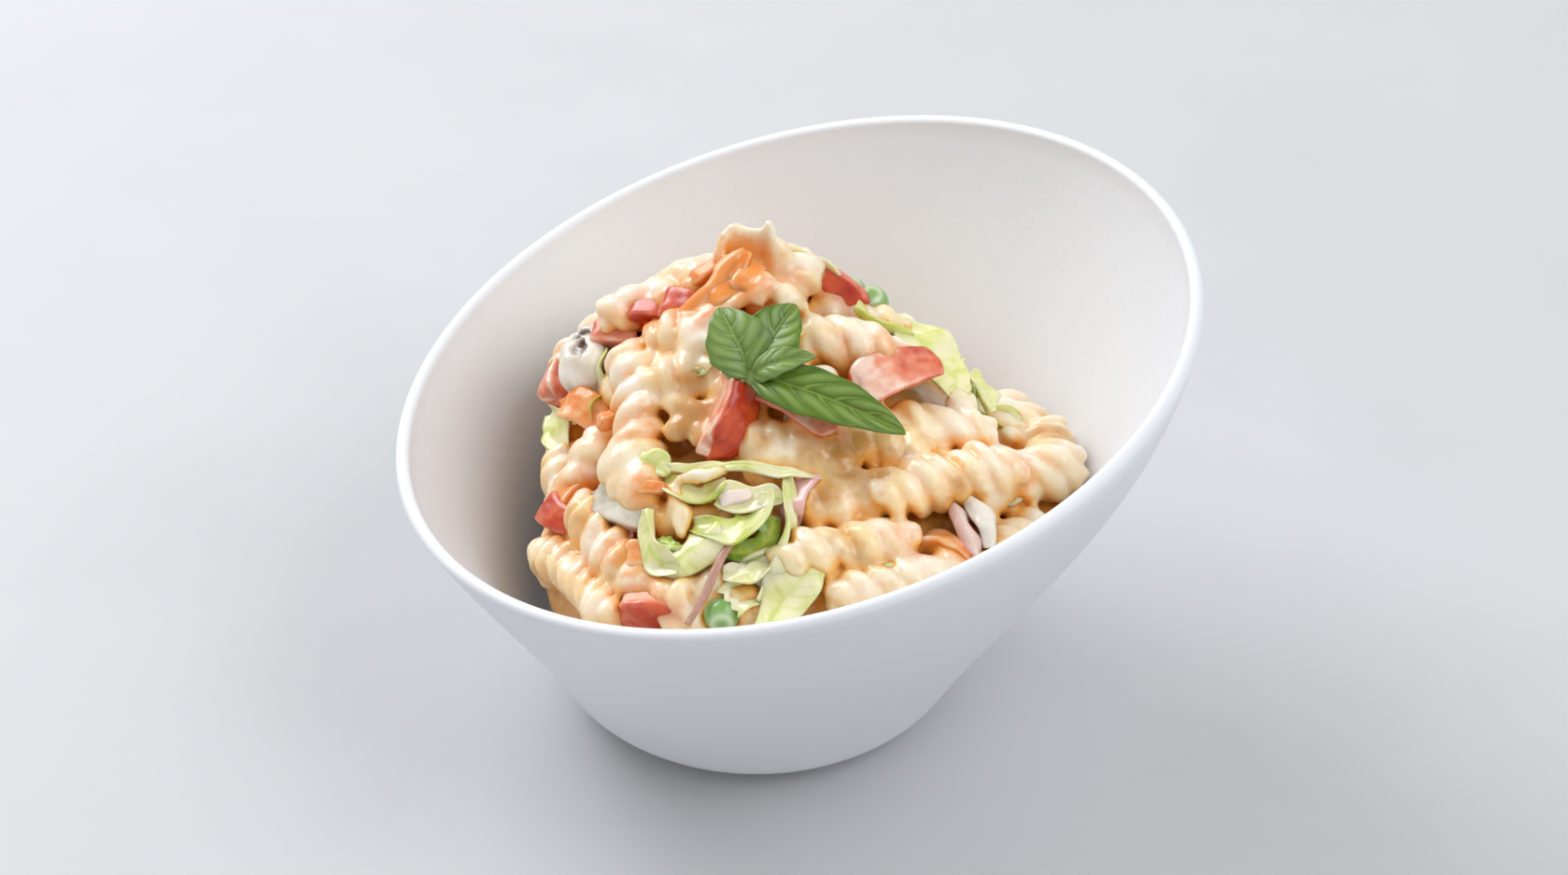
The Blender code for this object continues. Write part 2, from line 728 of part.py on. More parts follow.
def rest_on(item, carrier):
    """Lower or lift an object until it just clears what carries it."""
    tree = BVHTree.FromObject(carrier, bpy.context.evaluated_depsgraph_get())
    far = 1.0
    drop = far
    points = [vertex.co for vertex in item.data.vertices]
    points += [face.center for face in item.data.polygons]
    for point in points:
        hit = tree.ray_cast(Vector((point.x, point.y, far)), Vector((0, 0, -1)))
        if hit[0] is not None:
            drop = min(drop, point.z - hit[0].z)
    tree = BVHTree.FromObject(item, bpy.context.evaluated_depsgraph_get())
    for vertex in carrier.data.vertices:
        hit = tree.ray_cast(Vector((vertex.co.x, vertex.co.y, -far)), Vector((0, 0, 1)))
        if hit[0] is not None:
            drop = min(drop, hit[0].z - vertex.co.z)
    item.data.transform(Matrix.Translation((0, 0, SPRIG_GAP * MM - drop)))


def main():
    clear_scene()
    collection = bpy.data.collections.new("pasta salad")
    bpy.context.scene.collection.children.link(collection)
    make_bowl(collection, make_material("glazed ceramic", (0.86, 0.86, 0.87), 0.35))
    heap = make_heap(collection, make_material("dressed pasta", (0.86, 0.66, 0.42), 0.4))
    make_sprig(collection, make_material("basil", (0.10, 0.30, 0.05), 0.5), heap)


main()
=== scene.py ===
"""The looks of the pasta salad: fine pieces in place of its three plain solids.

Shapes are worked out in millimetres in the frame of the solids, and piece() turns
them into metres. The formulas and the tables of where the food lies are those that
the solids were made from, so each fine piece lies where its plain one does.
"""
import math
import random

import bmesh
import bpy
import numpy as np
from mathutils import Matrix, Vector, noise
from mathutils.bvhtree import BVHTree
from mathutils.kdtree import KDTree


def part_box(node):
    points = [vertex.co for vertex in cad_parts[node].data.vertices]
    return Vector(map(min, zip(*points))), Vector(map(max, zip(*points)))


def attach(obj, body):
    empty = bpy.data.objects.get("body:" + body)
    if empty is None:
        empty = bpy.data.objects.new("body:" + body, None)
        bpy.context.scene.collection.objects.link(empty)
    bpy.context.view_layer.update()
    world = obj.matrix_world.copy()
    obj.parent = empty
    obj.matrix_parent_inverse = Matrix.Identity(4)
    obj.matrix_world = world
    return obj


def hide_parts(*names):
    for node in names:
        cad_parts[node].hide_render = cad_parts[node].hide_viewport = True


MM = 0.001
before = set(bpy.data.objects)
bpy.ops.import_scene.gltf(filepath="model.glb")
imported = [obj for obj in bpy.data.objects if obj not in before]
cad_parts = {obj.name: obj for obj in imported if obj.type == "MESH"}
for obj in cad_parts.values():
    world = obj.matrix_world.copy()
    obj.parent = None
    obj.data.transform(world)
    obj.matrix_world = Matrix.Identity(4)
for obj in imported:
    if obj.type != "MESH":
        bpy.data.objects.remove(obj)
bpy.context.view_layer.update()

# Bowl, as in the solids
WALL_START = 44.9
WALL_FLARE = 0.441
WALL_SWELL = 0.00407
WALL_CURL = -0.0000313
FOOT_ROUNDING = 10.0
FOOT_INSET = 14.0
WALL = 3.4
FLOOR = 5.0
INNER_ROUNDING = 16.0
INNER_INSET = 22.0
RIM_MIDDLE = 91.0
RIM_TILT = 14.1
SLIDE_FROM = 21.0
SOLID_SEGMENTS = 48

# Heap, as in the solids; WALL_LEVELS and FALLS stand at equal steps round the peak
PEAK_X = -3.0
PEAK_Y = 22.0
PEAK_HEIGHT = 108.0
WALL_LEVELS = (67, 52, 44, 42, 29, 44, 58, 69)
FALLS = (1.25, 1.0, 0.8, 0.5, 0.45, 0.72, 0.95, 1.2)
PEAK_SOFTNESS = 0.10
SLOPE_STEP = 2.0
PIECE_GAP = 0.8
SETTLE_TRIES = 16
TWIST_VALLEY_SHARE = 0.35
TWIST_PITCH_SHARE = 2.7
TWIST_RING_TURN = 45.0
BLADES = 3
FOLLOW = None

# Each twist: x, y, heading, rise (FOLLOW lies along the slope), lift, length, radius,
# how far its middle bows out, and how open its ridges are, from 0 (filled with
# dressing) to 1
TWISTS = (
    (-2, 21, 100, 80, -12, 34, 5.8, 0, 1),
    (-23, 25, 6, 14, -6.5, 26, 5.8, 1, 0.5),
    (-17, 8, -40, 15, -5, 19, 5.6, 1, 0.8),
    (-29, -6, 88, 21, -4.5, 41, 6.8, -3.5, 0.55),
    (-41, -35, -60, 8, -4.5, 36, 5.8, 1, 0.8),
    (-34, -31, -66, -4, -5, 30, 6.5, 0, 0.7),
    (-39.5, -6, 38, 38, -5, 22, 5.8, 0, 0.6),
    (25, 21, -10, -12, -5.5, 26, 5.9, 1, 0.5),
    (21, 4, -8, -12, -4.5, 28, 6.8, 1, 0.45),
    (43.5, -28, 21, 1, -1.2, 35, 7.2, 0, 0.8),
    (68, -4, 78, -6, -5, 24, 6.4, 1, 0.8),
    (63, -22, 34, -3, -3.8, 33, 6.8, 1, 0.4),
    (20, -46, 13, 2, -4.3, 32, 6.4, 1, 0.6),
    (32, -52, 16, 2, -5, 31, 6.4, -1, 0.5),
    (35, -57, 22, 2, -8, 30, 6.4, 0, 0.6),
    (41, -10, 4, -7, -5.5, 26, 6.6, 0, 0.6),
    (27, -19, -12, -9, -6, 25, 6.2, 1, 0.5),
    (21, -32, 13, 0, -7, 28, 6.2, 0, 0.2),
    (9, -22, -14, -4, -6.6, 28, 6, 0, 0.2),
    (-15, -2, -10, 12, -6.5, 21, 5.8, 0, 0.3),
    (-22, -45, -45, 0, -6.5, 22, 5.8, 0, 0.6),
    (59, 6, 50, -10, -9.5, 24, 5.6, 0, 0.6),
    (7, 20, 55, 10, -6.5, 20, 5.6, 1, 0.5),
    (-18, 57, 10, FOLLOW, -5, 31, 6.5, 1, 0.8),
    (-38, 42, 48, FOLLOW, -9, 28, 6.3, 1, 0.8),
    (-9, 45, -4, FOLLOW, -6, 32, 6.5, -1, 0.6),
    (-27, 39, 30, FOLLOW, -9.5, 30, 6.4, 0, 0.8),
    (60, -43, 50, 0, -8, 30, 6.5, 0, 0.6),
    (48, -18, 12, -4, -8, 30, 6.4, 0, 0.5),
    (13, 56, -8, FOLLOW, -5, 30, 6.6, 1, 0.8),
    (37, 29, 40, FOLLOW, -9, 26, 6.4, 1, 0.7),
    (-5, 37, 12, FOLLOW, -8, 28, 6.4, 0, 0.7),
    (15, 44, -22, FOLLOW, -6, 28, 6.4, -1, 0.7),
    (54, 26, 15, FOLLOW, -12, 28, 6.4, 0, 0.7),
    (71, 14, 75, FOLLOW, -10, 24, 6.2, 0, 0.7),
    (-1, -6, 30, FOLLOW, -8.5, 24, 6, 0, 0.4),
    (-8, -33, -10, FOLLOW, -9, 28, 6.2, 0, 0.4),
    (-5, -52, 5, FOLLOW, -9, 30, 6.2, 0, 0.4),
)
# Wedges and chunks: x, y, heading, rise, lift, length, width, height
TOMATO = (
    (-7.5, -13, 75, FOLLOW, -0.5, 27, 12, 8), (9.5, -15.5, -40, -10, -0.5, 21, 15, 8),
    (32, -4, 28, 0, 0.5, 22, 13, 9), (17, 27, -25, -20, -1, 18, 12, 9),
    (-25.5, 20, -30, 20, -2.5, 10, 8, 8), (-18, 16, -30, 20, -2, 11, 9, 8),
    (-45, -17, -60, 10, -1, 12, 10, 10), (-24, -50.5, -18, 10, -3.5, 15, 12, 9),
    (-47.5, 28, 80, 10, -2, 14, 8, 8), (-34, 22, -25, 10, -3, 12, 7, 7),
)
CARROT = (
    (-6, 12, 10, FOLLOW, -3.5, 12, 8, 7), (-40, 6, -45, -5, -2, 18, 10, 8),
    (-42, -14, 40, 20, -2, 10, 6, 6), (42, -44, -30, 0, -3.5, 13, 9, 7),
    (-25, -40, 0, 0, -2.5, 10, 8, 6), (-34, -5, 20, 10, 2, 6, 4, 4),
    (-24, -29, -10, 10, 1.5, 7, 4, 4), (-1.5, 13.5, 60, FOLLOW, -1.5, 9, 7, 5),
    (-3.5, 16.5, 70, 40, -1.5, 9, 6, 5), (-12, 20, 10, FOLLOW, -1.5, 8, 5, 4),
)
PALE = (
    (-40, 21, 80, 20, -2.5, 16, 12, 12), (-31.5, -26.5, -47, FOLLOW, -1.5, 19, 11, 6),
    (51, -37, 66, FOLLOW, -2, 15, 10, 8), (11, -36, 60, FOLLOW, -1.5, 12, 7, 7),
    (-5, -36, 5, FOLLOW, 0.5, 8, 4, 3),
)
# Lettuce and cabbage leaves: x, y, heading, rise, lift, length, width
LEAVES = (
    (-47, 7, 75, 45, -3, 17, 9), (-3.5, -27, -9, 1, -1, 28, 8), (-5, -40, -14, 6, -0.5, 20, 12),
    (-17, -43.5, -18, 8, -1, 20, 13), (6.5, -44, 80, 32, 0.5, 25, 6),
    (8, -56, 30, 15, -2, 26, 10), (38, 17, -14, -14, -3, 22, 9), (47, 5, 75, 20, -1, 18, 10),
    (15, 33, -10, -10, 1, 20, 11), (30, 11, 10, FOLLOW, -4, 20, 10),
    (-2, -34, -12, FOLLOW, -3, 24, 9), (2, -51, 30, FOLLOW, -3, 20, 11),
    (4, 1, 20, FOLLOW, -3, 20, 10), (-38, 13, 80, FOLLOW, -3, 18, 10),
    (-18.5, -22.5, 10, 10, 0.5, 11, 7), (54, 4, 10, FOLLOW, -6, 17, 9),
    (27, 30, -30, -20, -3, 15, 9), (30, -53.5, -15, -8, -0.5, 9, 4),
)
# Peas: x, y, lift, and how much higher than in the solids they show
PEAS = ((-7.5, -56, -4.5, 0), (27, 27, -3, 5.5), (22, 31, -3, 5))
PEA_RADIUS = 4.2
PEA_TILT = 55
STRIP_ENDS = ((-5, -45, 1), (-15, -60, 1))
STRIP_RADIUS = 1.1
FILL_SEED = 11
FILL_SPACING = 13.0
FILL_TRIES = 900
FILL_EDGE = 7.0
FILL_FROM_Y = 34.0
FILL_LIFT = -6.0
FILL_LEAF_RISE = 4.0
FILL_TWIST = (32, 6.5, 1, 0.8)
FILL_LEAF = (22, 11)
FILL_CHUNK = (13, 9, 9)
FILL_CHUNK_LOOK = (4, 45, 0.7, 90, 0.2, 0.1, 0.5)
FILL_GREENS = (0.2, 0.55, 0.35, 0.7)

# Basil sprig, as in the solids
SPRIG_X = -1.0
SPRIG_Y = -13.0
SPRIG_LEAN = 27.0
SPRIG_TURN = -4.0
LEAF_THICKNESS = 0.8
# Leaves of the basil: heading, length, width, rise, fold, droop and how pale
BASIL = (
    (118, 18, 15, 16, 16, 3, 0.12),
    (63, 20, 14.5, 12, 18, 3, 0),
    (14, 15.5, 7.5, 27, 20, 3, 0.15),
    (-20, 38, 12.5, 6, 14, 3.5, 0),
    (168, 7, 4, -12, 20, 1, 0.5),
)
STEM_PLACE = (0.4, 0.2, 0.2)
STEM_SIZE = (2.1, 2.7, 1.3)

# Looks: how fine the pieces are, and how far they stay from the bowl
LOOK_SEED = 3
BOWL_SEGMENTS = 192
TWIST_SIDES = 40
TWIST_STEP = 0.7
TWIST_CAPS = (0.95, 0.82, 0.60, 0.32)
RIDGE_DEPTH = 0.50
SKIN_SWELL = 0.30
VOXEL = 0.80
SKIN_KEPT = 0.63
SHADE_RAYS = 22
SHADE_REACH = 9.0
WALL_CLEARANCE = 0.35
BODY_CLEARANCE = 0.7
CORE_CLEARANCE = 0.8
SHRED_CLEARANCE = 0.6
BODY_SHARE = 0.84
BODY_DROP = (0, 0, 0.9)
# How much painted crease shade the smaller copies of pieces give the skin above them
BODY_CREASE_SHADE = 0.2
# How far apart the bands of a twist lie in millimetres, how many blades wind round it,
# how deep its ridges look and how far its ends flare: first as usual, then by its row
# among the twists where that differs
BAND, BLADE_COUNT, FLARE = 5.2, 2, 2.0
BANDS = {
    1: 6.5, 2: 6, 3: 6.2, 4: 4.1, 5: 5.6, 6: 6.5, 7: 6.5, 8: 7.5, 9: 5.3, 10: 6.8, 11: 7, 12: 6,
    13: 5.6, 15: 7, 16: 7, 17: 7, 20: 5.8, 21: 6.5, 34: 7,
}
LOOK_BLADES = {8: 3, 11: 3, 15: 3}
LOOK_RIDGES = {
    1: 0.7, 3: 0.7, 4: 1, 5: 0.9, 7: 0.6, 8: 0.55, 9: 0.82, 10: 0.95, 11: 0.6, 12: 0.65, 13: 0.6,
    15: 0.65, 16: 0.5, 17: 0.45, 18: 0.45, 19: 0.7, 20: 0.8, 35: 0.6, 36: 0.6, 37: 0.8,
}
FLARES = {4: 0.5, 9: 3, 10: 3, 11: 3.5}

# Each listed leaf: how green, from 0 for white cabbage to 1 for dark lettuce, how far
# it twists along its length in degrees, how cupped it is, and how far it sweeps aside;
# None where ribbons take its place
LEAF_LOOKS = (
    None, None, None, None, None, None, (0.25, 10, 6, 0), None, None, (0.35, 10, 8, 0), None,
    (0.15, -20, 6, 0), None, (0.3, 10, 8, 0), None, (0.4, 20, 8, 0), (0.7, 20, 6, 0), None,
)
# Ribbons of leaf: how green, half width, thickness, cup, roll at both ends, and the
# places on the mound they run through, each as x, y and lift
RIBBONS = (
    (0.16, 1.5, 1.3, 0.3, (-10, 20), (
        (-22.5, -24.5, 0), (-15, -27.5, 0.8), (-8.7, -28.8, 1), (-2, -30, 1), (7.7, -32, 0.8),
        (15, -32.4, 0))),
    (0.52, 3, 1.1, 1.5, (25, 25), (
        (-22, -27, -1.5), (-16.5, -31.5, -0.6), (-11.5, -33.8, -0.5), (-6, -32, -0.6))),
    (0.26, 3, 1.8, 0.5, (0, 10), ((-29, -19, 0.3), (-24, -23, 1.2), (-20.5, -27, 0.4))),
    (0.55, 4, 1.3, 1.2, (5, 50), (
        (-13.5, -38.5, -1), (-9, -41.2, 0.2), (-4.3, -43.4, 1), (-0.4, -42.8, 1.2),
        (2.4, -40, 1.2), (3.2, -36.5, 1.8))),
    (0.95, 3.2, 0.8, 1, (10, 10), (
        (-7.5, -44.5, -2.2), (-2, -45.8, -2), (3.2, -44.2, -1.8), (4.6, -40.5, -1.5))),
    (0.12, 3.4, 1.7, 1.5, (-40, -10), (
        (-24, -34, 2.5), (-23.8, -38.5, 1.8), (-22, -43.5, 0.8), (-17, -47.5, 0))),
    (0.14, 5.2, 1.7, -2, (0, 15), (
        (-22.5, -45.5, 0), (-17.5, -45.8, 1.2), (-12, -44.6, 1.2), (-8, -41, 1))),
    (0.85, 1.6, 0.8, 0.5, (20, 10), ((-21, -39.5, -0.4), (-19, -42, 0.4), (-16.5, -43.4, 0.8))),
    (0.32, 2.4, 1.3, 1.2, (0, 175), (
        (7.3, -32.6, 0), (7.3, -38.8, 0.8), (8, -43.7, 1.3), (5.8, -48.7, 1.3),
        (4.2, -52.6, 0.6), (0.4, -57.4, 0))),
    (0.17, 5.4, 1.8, 0.5, (5, -5), (
        (1.5, -63.5, -1.6), (7, -58, -0.6), (11, -53.5, 0), (17.5, -46.8, -1))),
    (0.06, 3.8, 1.4, 1.5, (5, 10), ((-9, -34.5, -1.2), (-1, -35.8, -0.6), (6, -37.4, -1))),
    (0.12, 3.4, 1.3, 1, (0, 30), ((-7, -50.5, -1.5), (-1, -51.5, -0.6), (5, -50, -1.2))),
    (0.45, 3.6, 1.2, 1.5, (0, 30), ((-48.3, 17, -1), (-46.8, 11, -1), (-45.8, 4.5, -1.5))),
    (0.16, 5.8, 1.8, 1.5, (-35, -25), (
        (33, 18.5, 0.8), (38.5, 12, 1.2), (44.5, 5, 1), (46.5, -2, -0.4))),
    (0.3, 3.2, 1.4, 1.5, (-20, 20), ((50, 12, -0.5), (52.5, 6, -0.2), (54, -1, -1.2))),
    (0.72, 1.5, 1, 0.6, (20, 60), ((50, 6, 0), (50.6, 1, 0.2), (49.6, -4.5, -0.8))),
    (0.04, 5.2, 1.6, 2, (0, -10), ((6, 29, 2.5), (13, 30.5, 4.5), (20, 30, 4), (27, 28, 2.5))),
    (0.42, 2.6, 1.2, 1.2, (10, 40), ((22, 17.5, -1), (30, 15, -0.5), (38, 16, -1))),
    (0.2, 2.4, 1.2, 1, (0, 20), ((-1, 3, -2), (4, 1, -1.5), (10, 2, -2))),
    (0.35, 1.7, 1, 0.3, (0, 0), ((26, -51.2, -1.4), (30, -53, -0.5), (34, -55.3, -1.2))),
)
# Petals of onion: how pink, and the rest as for the ribbons
PETALS = (
    (0, 2.7, 1.6, -1.2, (-10, 25), (
        (47.5, -30.5, -0.5), (50.8, -35.5, 1), (53.2, -40, 1), (53, -44, -0.6))),
    (0.9, 2.3, 1.5, -1, (10, -10), (
        (44.8, -33.5, -1.6), (47.3, -39.3, -0.4), (49.8, -46.5, -0.8))),
)
# Bands of pasta and dressing that climb over other pieces: as for the ribbons
BANDS_OVER = (
    (2.3, 2.4, -0.6, (0, 0), (
        (-17.5, 12, -1.2), (-11.4, 13.2, 0.1), (-7.6, 16.6, 0.4), (-2.6, 20.8, 0.6))),
    (3.2, 3.2, -1.2, (0, 0), ((2.4, 14.5, 0), (1.6, 10.5, 1.2), (0, 6, 0.4))),
    (4.2, 3.4, -1.5, (0, 0), ((9, 12.5, -0.2), (8.2, 9.5, 0.8), (6, 5.5, 0))),
    (1.7, 2.2, -0.5, (0, 0), (
        (-18, -28.2, 0.2), (-13.8, -30, 1.3), (-10.4, -30.5, 1.3), (-6, -29.4, 0.4))),
    (2.2, 2.4, -0.6, (0, 0), ((-19.5, -29, 0.2), (-17.3, -34.5, 0.8), (-16.4, -41, -0.4))),
    (2.5, 2.6, -0.6, (0, 0), ((-24, -44.5, -2), (-20.5, -49.5, -1), (-18.8, -54, -1.5))),
)
# Each cut piece: how many sides its section has, how far that is turned, how bare of
# dressing it is, which way its paler side looks and how much paler it is, how much
# paler its near end is, and how far it bows out; None where it is left out
TOMATO_LOOKS = (
    (3, 0, 0.8, 30, 0.55, 0.1, -3.5), (3, 55, 0.75, 85, 0.55, 0.1, 1),
    (3, 58, 0.75, 88, 0.5, 0.5, 0.5), (4, 45, 0.8, 90, 0.15, 0, 2), (4, 30, 0.95, 90, 0, 0.1, 1),
    (4, 45, 0.92, 90, 0.1, 0.1, 1), (4, 38, 1.05, 90, 0.25, 0, 0),
    (3, 10, 0.45, 30, 0.45, 0.1, 0.5), (4, 45, 0.45, 90, 0.1, 0, 1), (4, 45, 0.5, 90, 0, 0, 0.5),
)
CARROT_LOOKS = (
    (4, 45, 0.95, 90, 0.1, 0, 1), (3, 40, 0.92, 85, 0.25, 0.1, 2),
    (4, 45, 0.95, 90, 0.1, 0.1, 1), (3, 20, 0.8, 60, 0.2, 0.2, 1.5), (4, 45, 0.45, 90, 0, 0, 0),
    (4, 45, 0.75, 90, 0, 0, 0), (4, 45, 0.6, 90, 0, 0, 0), (4, 45, 0.9, 90, 0.2, 0, 1),
    (4, 45, 0.85, 90, 0.2, 0.2, 0.5), (4, 45, 0.85, 90, 0, 0, 0),
)
PALE_LOOKS = (
    (0, 0, 0.55, 0, 0.3, 0, 0), (4, 40, 0.8, 90, 0.2, -0.15, 0), None,
    (3, 30, 0.45, 60, 0.2, 0, 1), (4, 45, -0.1, 90, 0, 0, 0),
)
PALE_PINKS = (0, 0, 0, 1, 0.35)
# How much higher or lower than in the solids a cut piece shows
LIFTS = {
    0: 0.8, 2: 0.4, 3: 1.8, 4: -0.8, 5: -1, 7: 0.5, 21: -0.3,
}
# The open end of the twist at the peak: x, y, level of its foot and of its rim, how wide
# and how deep it is, how far it comes round, and its two points: where round it, how
# high they stand and how wide they are
CROWN = (-2.0, 21.8, 95.0, 111.4)
CROWN_WIDE = 6.3
CROWN_DEEP = 3.6
CROWN_ROUND = 128
CROWN_POINTS = ((-30, 2.2, 24), (56, 3.6, 19))
# Where the top of the crown's rim is painted paler, as painted light on a part that faces away from
# the lamps: x, y, radius, share
CROWN_TOP_LIGHT = (CROWN[0], CROWN[1], 8, 0.6)
# Lobes beside it: x, y, level, width, height
LOBES = ((5.4, 23, 104.5, 3.2, 5.2), (-7.8, 19.5, 100.5, 2.6, 4.4))
# Holes of the olive: x, y, length, width
OLIVE_HOLES = ((5, -0.8, 2, 3.3), (0.3, -3.2, 2.6, 1.7))
# Dark gaps between the pieces: x, y, radius, depth
GAPS = (
    (-30.6, -43.7, 4.5, 9), (17.1, -36.9, 4, 9), (-8.4, -19.8, 4, 9), (-16, -9.3, 4.5, 8),
    (47.8, -37.3, 5, 8), (19.7, -59.2, 3, 7), (74.2, -3, 4, 8), (-18.8, -51.3, 3.5, 8),
    (11.3, 9.8, 4, 8),
)
# Thick places in the dressing: x, y, lift, radius
POOLS = (
    (-30, -18, -1.2, 6.2), (-26, -25.5, -0.8, 5.8), (23, 7, -2.5, 5), (31, 1, -2.8, 4.5),
    (18, -34, -4.5, 5.5), (26, -15, -4, 5), (12, -20, -4, 5), (-14, 4, -4, 4.5),
    (62, -18, -3.2, 5), (24, -46, -3.4, 4.5), (4, -26, -5.5, 6), (13, -29, -6, 5.5),
    (36, -52, -6, 5.5), (-22, 22, -5, 4.5), (53, -38, -6.5, 4), (-33, 9, -5, 4.5),
    (47.5, -2.5, -0.8, 3.8), (-9, -50, -5, 5), (-18.2, -8.6, -3.4, 3.2), (-14.6, -11.6, -3.8, 3),
    (-17.4, -14.2, -4, 3.2), (-12.6, -17, -4.2, 3), (2.7, -24.4, -2.6, 3.4),
    (6.8, -26.2, -2.6, 2.8), (16.6, -21.5, -2.6, 4), (19.4, -27, -2.2, 3.2),
    (23.2, -32, -3, 3.8), (-3.6, 12.6, -1.8, 1.8), (-4, 8.8, -1.8, 1.8), (-12, 7.6, -3, 3.2),
    (-8, 8.6, -3, 3), (-21, 21.5, -2.2, 2.2), (-15, 19.5, -2.2, 2.4),
)
# Where painted shade darkens the dressing to brown between the pieces, where it glows orange and
# where it is red: x, y, radius, share
GAP_SHADE_PLACES = (
    (22, -25, 11, 0.95), (12, -20, 8, 0.9), (-15, -13, 7, 1), (14, -36, 6, 0.9),
    (46, -37, 6, 0.9), (11, 12, 4, 0.8), (-21, 13, 5, 0.5), (-29, -42, 5, 0.7), (69, -1, 8, 0.6),
    (31, -8, 7, 0.6), (-43, -26, 5, 0.5), (2, -24, 4, 0.5), (40, -22, 5, 0.4),
    (20, -50, 8, 0.45), (6, -32, 6, 0.6), (27, -17, 6, 0.6), (-50, -28, 8, 0.35),
    (-2, -52, 5, 0.5),
)
GLOW_PLACES = (
    (-6, 14, 7, 1.3), (-1.5, 11, 6, 1.2), (-14.5, 13, 6.5, 1.2), (-3, 18, 4.5, 0.9),
    (-11, 9, 5, 1), (-16, -6, 4, 0.5), (30, 3, 4, 0.6), (-24, 15, 6, 0.8), (-10, 22, 5, 0.6),
    (20, -12, 4, 0.5), (33, -47, 5, 0.5), (-33, -12, 4, 0.4), (61, -24, 4, 0.5),
    (-24, -48, 4, 0.5),
)
BLUSH_PLACES = (
    (-21, 17, 5, 0.9), (-27, 14, 5, 0.7), (-15, 11, 4, 0.5), (-33, 19, 4, 0.5), (9, 18, 5, 0.6),
    (14, 12, 4, 0.4), (20, 2, 4, 0.5), (-27, -52, 5, 0.5), (44, -42, 5, 0.6), (56, -16, 4, 0.4),
)
# Small shreds strewn over the front. A spread says between which directions in radians
# the pieces lie, how far they stay from the wall, and from which share of the way out
# to which. The ranges are of length, width, phase, swing, twist, cup, sweep and look.
SHRED_SEED = 8
SHREDS = 13
SHRED_SPREAD = (-2.6, 0.2, 9, 0.10, 0.80)
SHRED_RANGES = ((7, 13), (2.0, 3.5), (0, 6), (0.3, 0.8), (-50, 50), (0, 5), (-3, 3), (0, 6))
SHRED_LIFTS = (-5.0, -2.0)
# Short twists low in the gaps
LOW_SEED = 4
LOW_TWISTS = 13
LOW_SPREAD = (0.5, 2.6, 8, 0.05, 0.95)
LOW_LIFTS = (-10.0, -8.0)
LOW_LENGTHS = (20, 28)
LOW_RADIUS = 5.5
LOW_RIDGES = 0.8
# Low twists at the left: x, y, heading, rise, lift, length
LEFT_TWISTS = (
    (-44, 7, 84, 10, -8.5, 26), (-44, -16, 78, 4, -11, 24), (-42, -50, -47, 0, -12.5, 27),
)
LEFT_RADIUS = 5.8
# Drops of dressing, and the core under all the pieces
POOL_SEED = 5
LOOSE_POOLS = 64
POOL_EDGE = 6
POOL_LIFTS = (-8.0, -4.0)
POOL_RADII = (2.0, 4.5)
POOL_SHAPE = (1.25, 1.0, 0.75)
# Painted crease shade that the drops give the skin: below nought, so it shows paler there
POOL_CREASE_SHADE = -0.3
CORE_DROP = 10.5
CORE_BOTTOM = 21.0
# Painted crease shade that the deep core gives the skin above it
CORE_CREASE_SHADE = 0.6

# Colours of the dressed pasta: ridge tops, painted crease shade, paler dressing that also carries
# painted top light, painted gap shade, three tints, and painted shade in closed-in places from
# light to dark
RIDGE_TOP, CREASE_SHADE_COLOUR = (0.90, 0.695, 0.40), (0.91, 0.54, 0.17)
MILK_AND_TOP_LIGHT, GAP_SHADE_BROWN = (0.91, 0.825, 0.695), (0.56, 0.275, 0.065)
GREENISH, BLUSH, GLOW = (0.66, 0.64, 0.20), (0.82, 0.27, 0.12), (0.86, 0.265, 0.02)
SHADES = ((0.92, 0.48, 0.10), (0.68, 0.26, 0.035), (0.22, 0.06, 0.01))
# Colours of cut pieces: deep and middle flesh, then thinly and thickly dressed
TOMATO_COLOURS = (0.46, 0.024, 0.005), (0.67, 0.09, 0.015), (0.81, 0.30, 0.18), (0.89, 0.66, 0.53)
CARROT_COLOURS = (0.78, 0.20, 0.02), (0.86, 0.30, 0.05), (0.88, 0.52, 0.26), (0.90, 0.74, 0.55)
PALE_COLOURS = (0.38, 0.33, 0.24), (0.56, 0.51, 0.40), (0.78, 0.72, 0.61), (0.92, 0.87, 0.79)
# Pink of the onion, and the painted shade inside the olive's dents
ONION_PINK, OLIVE_HOLE_SHADE = (0.74, 0.36, 0.34), (0.10, 0.045, 0.03)
# Greens of the leaves, from white rib to dark edge, and their dressing
LEAF_GREENS = (
    (0.84, 0.80, 0.52), (0.72, 0.74, 0.30), (0.52, 0.60, 0.09), (0.26, 0.40, 0.04),
    (0.10, 0.20, 0.015),
)
LEAF_DRESSING = (0.91, 0.86, 0.64)
# Greens of the peas, and the pale of their painted highlight ring and paler patch
PEA_GREENS, PEA_HIGHLIGHT_AND_PALE = ((0.15, 0.33, 0.06), (0.28, 0.47, 0.15)), (0.62, 0.72, 0.48)
BASIL_GREENS = (0.055, 0.130, 0.006), (0.115, 0.205, 0.012)
# Painted highlight on the basil's bulges, the green of its veins, and the green of its paler leaves
BASIL_BULGE_HIGHLIGHT, BASIL_VEIN, BASIL_PALE = (0.24, 0.35, 0.08), (0.36, 0.46, 0.10), (0.45, 0.60, 0.30)
STRIP_BROWNS = (0.36, 0.16, 0.11), (0.62, 0.36, 0.27)
GLAZE_WHITES = (0.775, 0.80, 0.85), (0.815, 0.84, 0.88)
FLOOR_GREYS = (0.54, 0.55, 0.565), (0.60, 0.61, 0.625)

# Stage, in metres
FLOOR_SIDE = 8
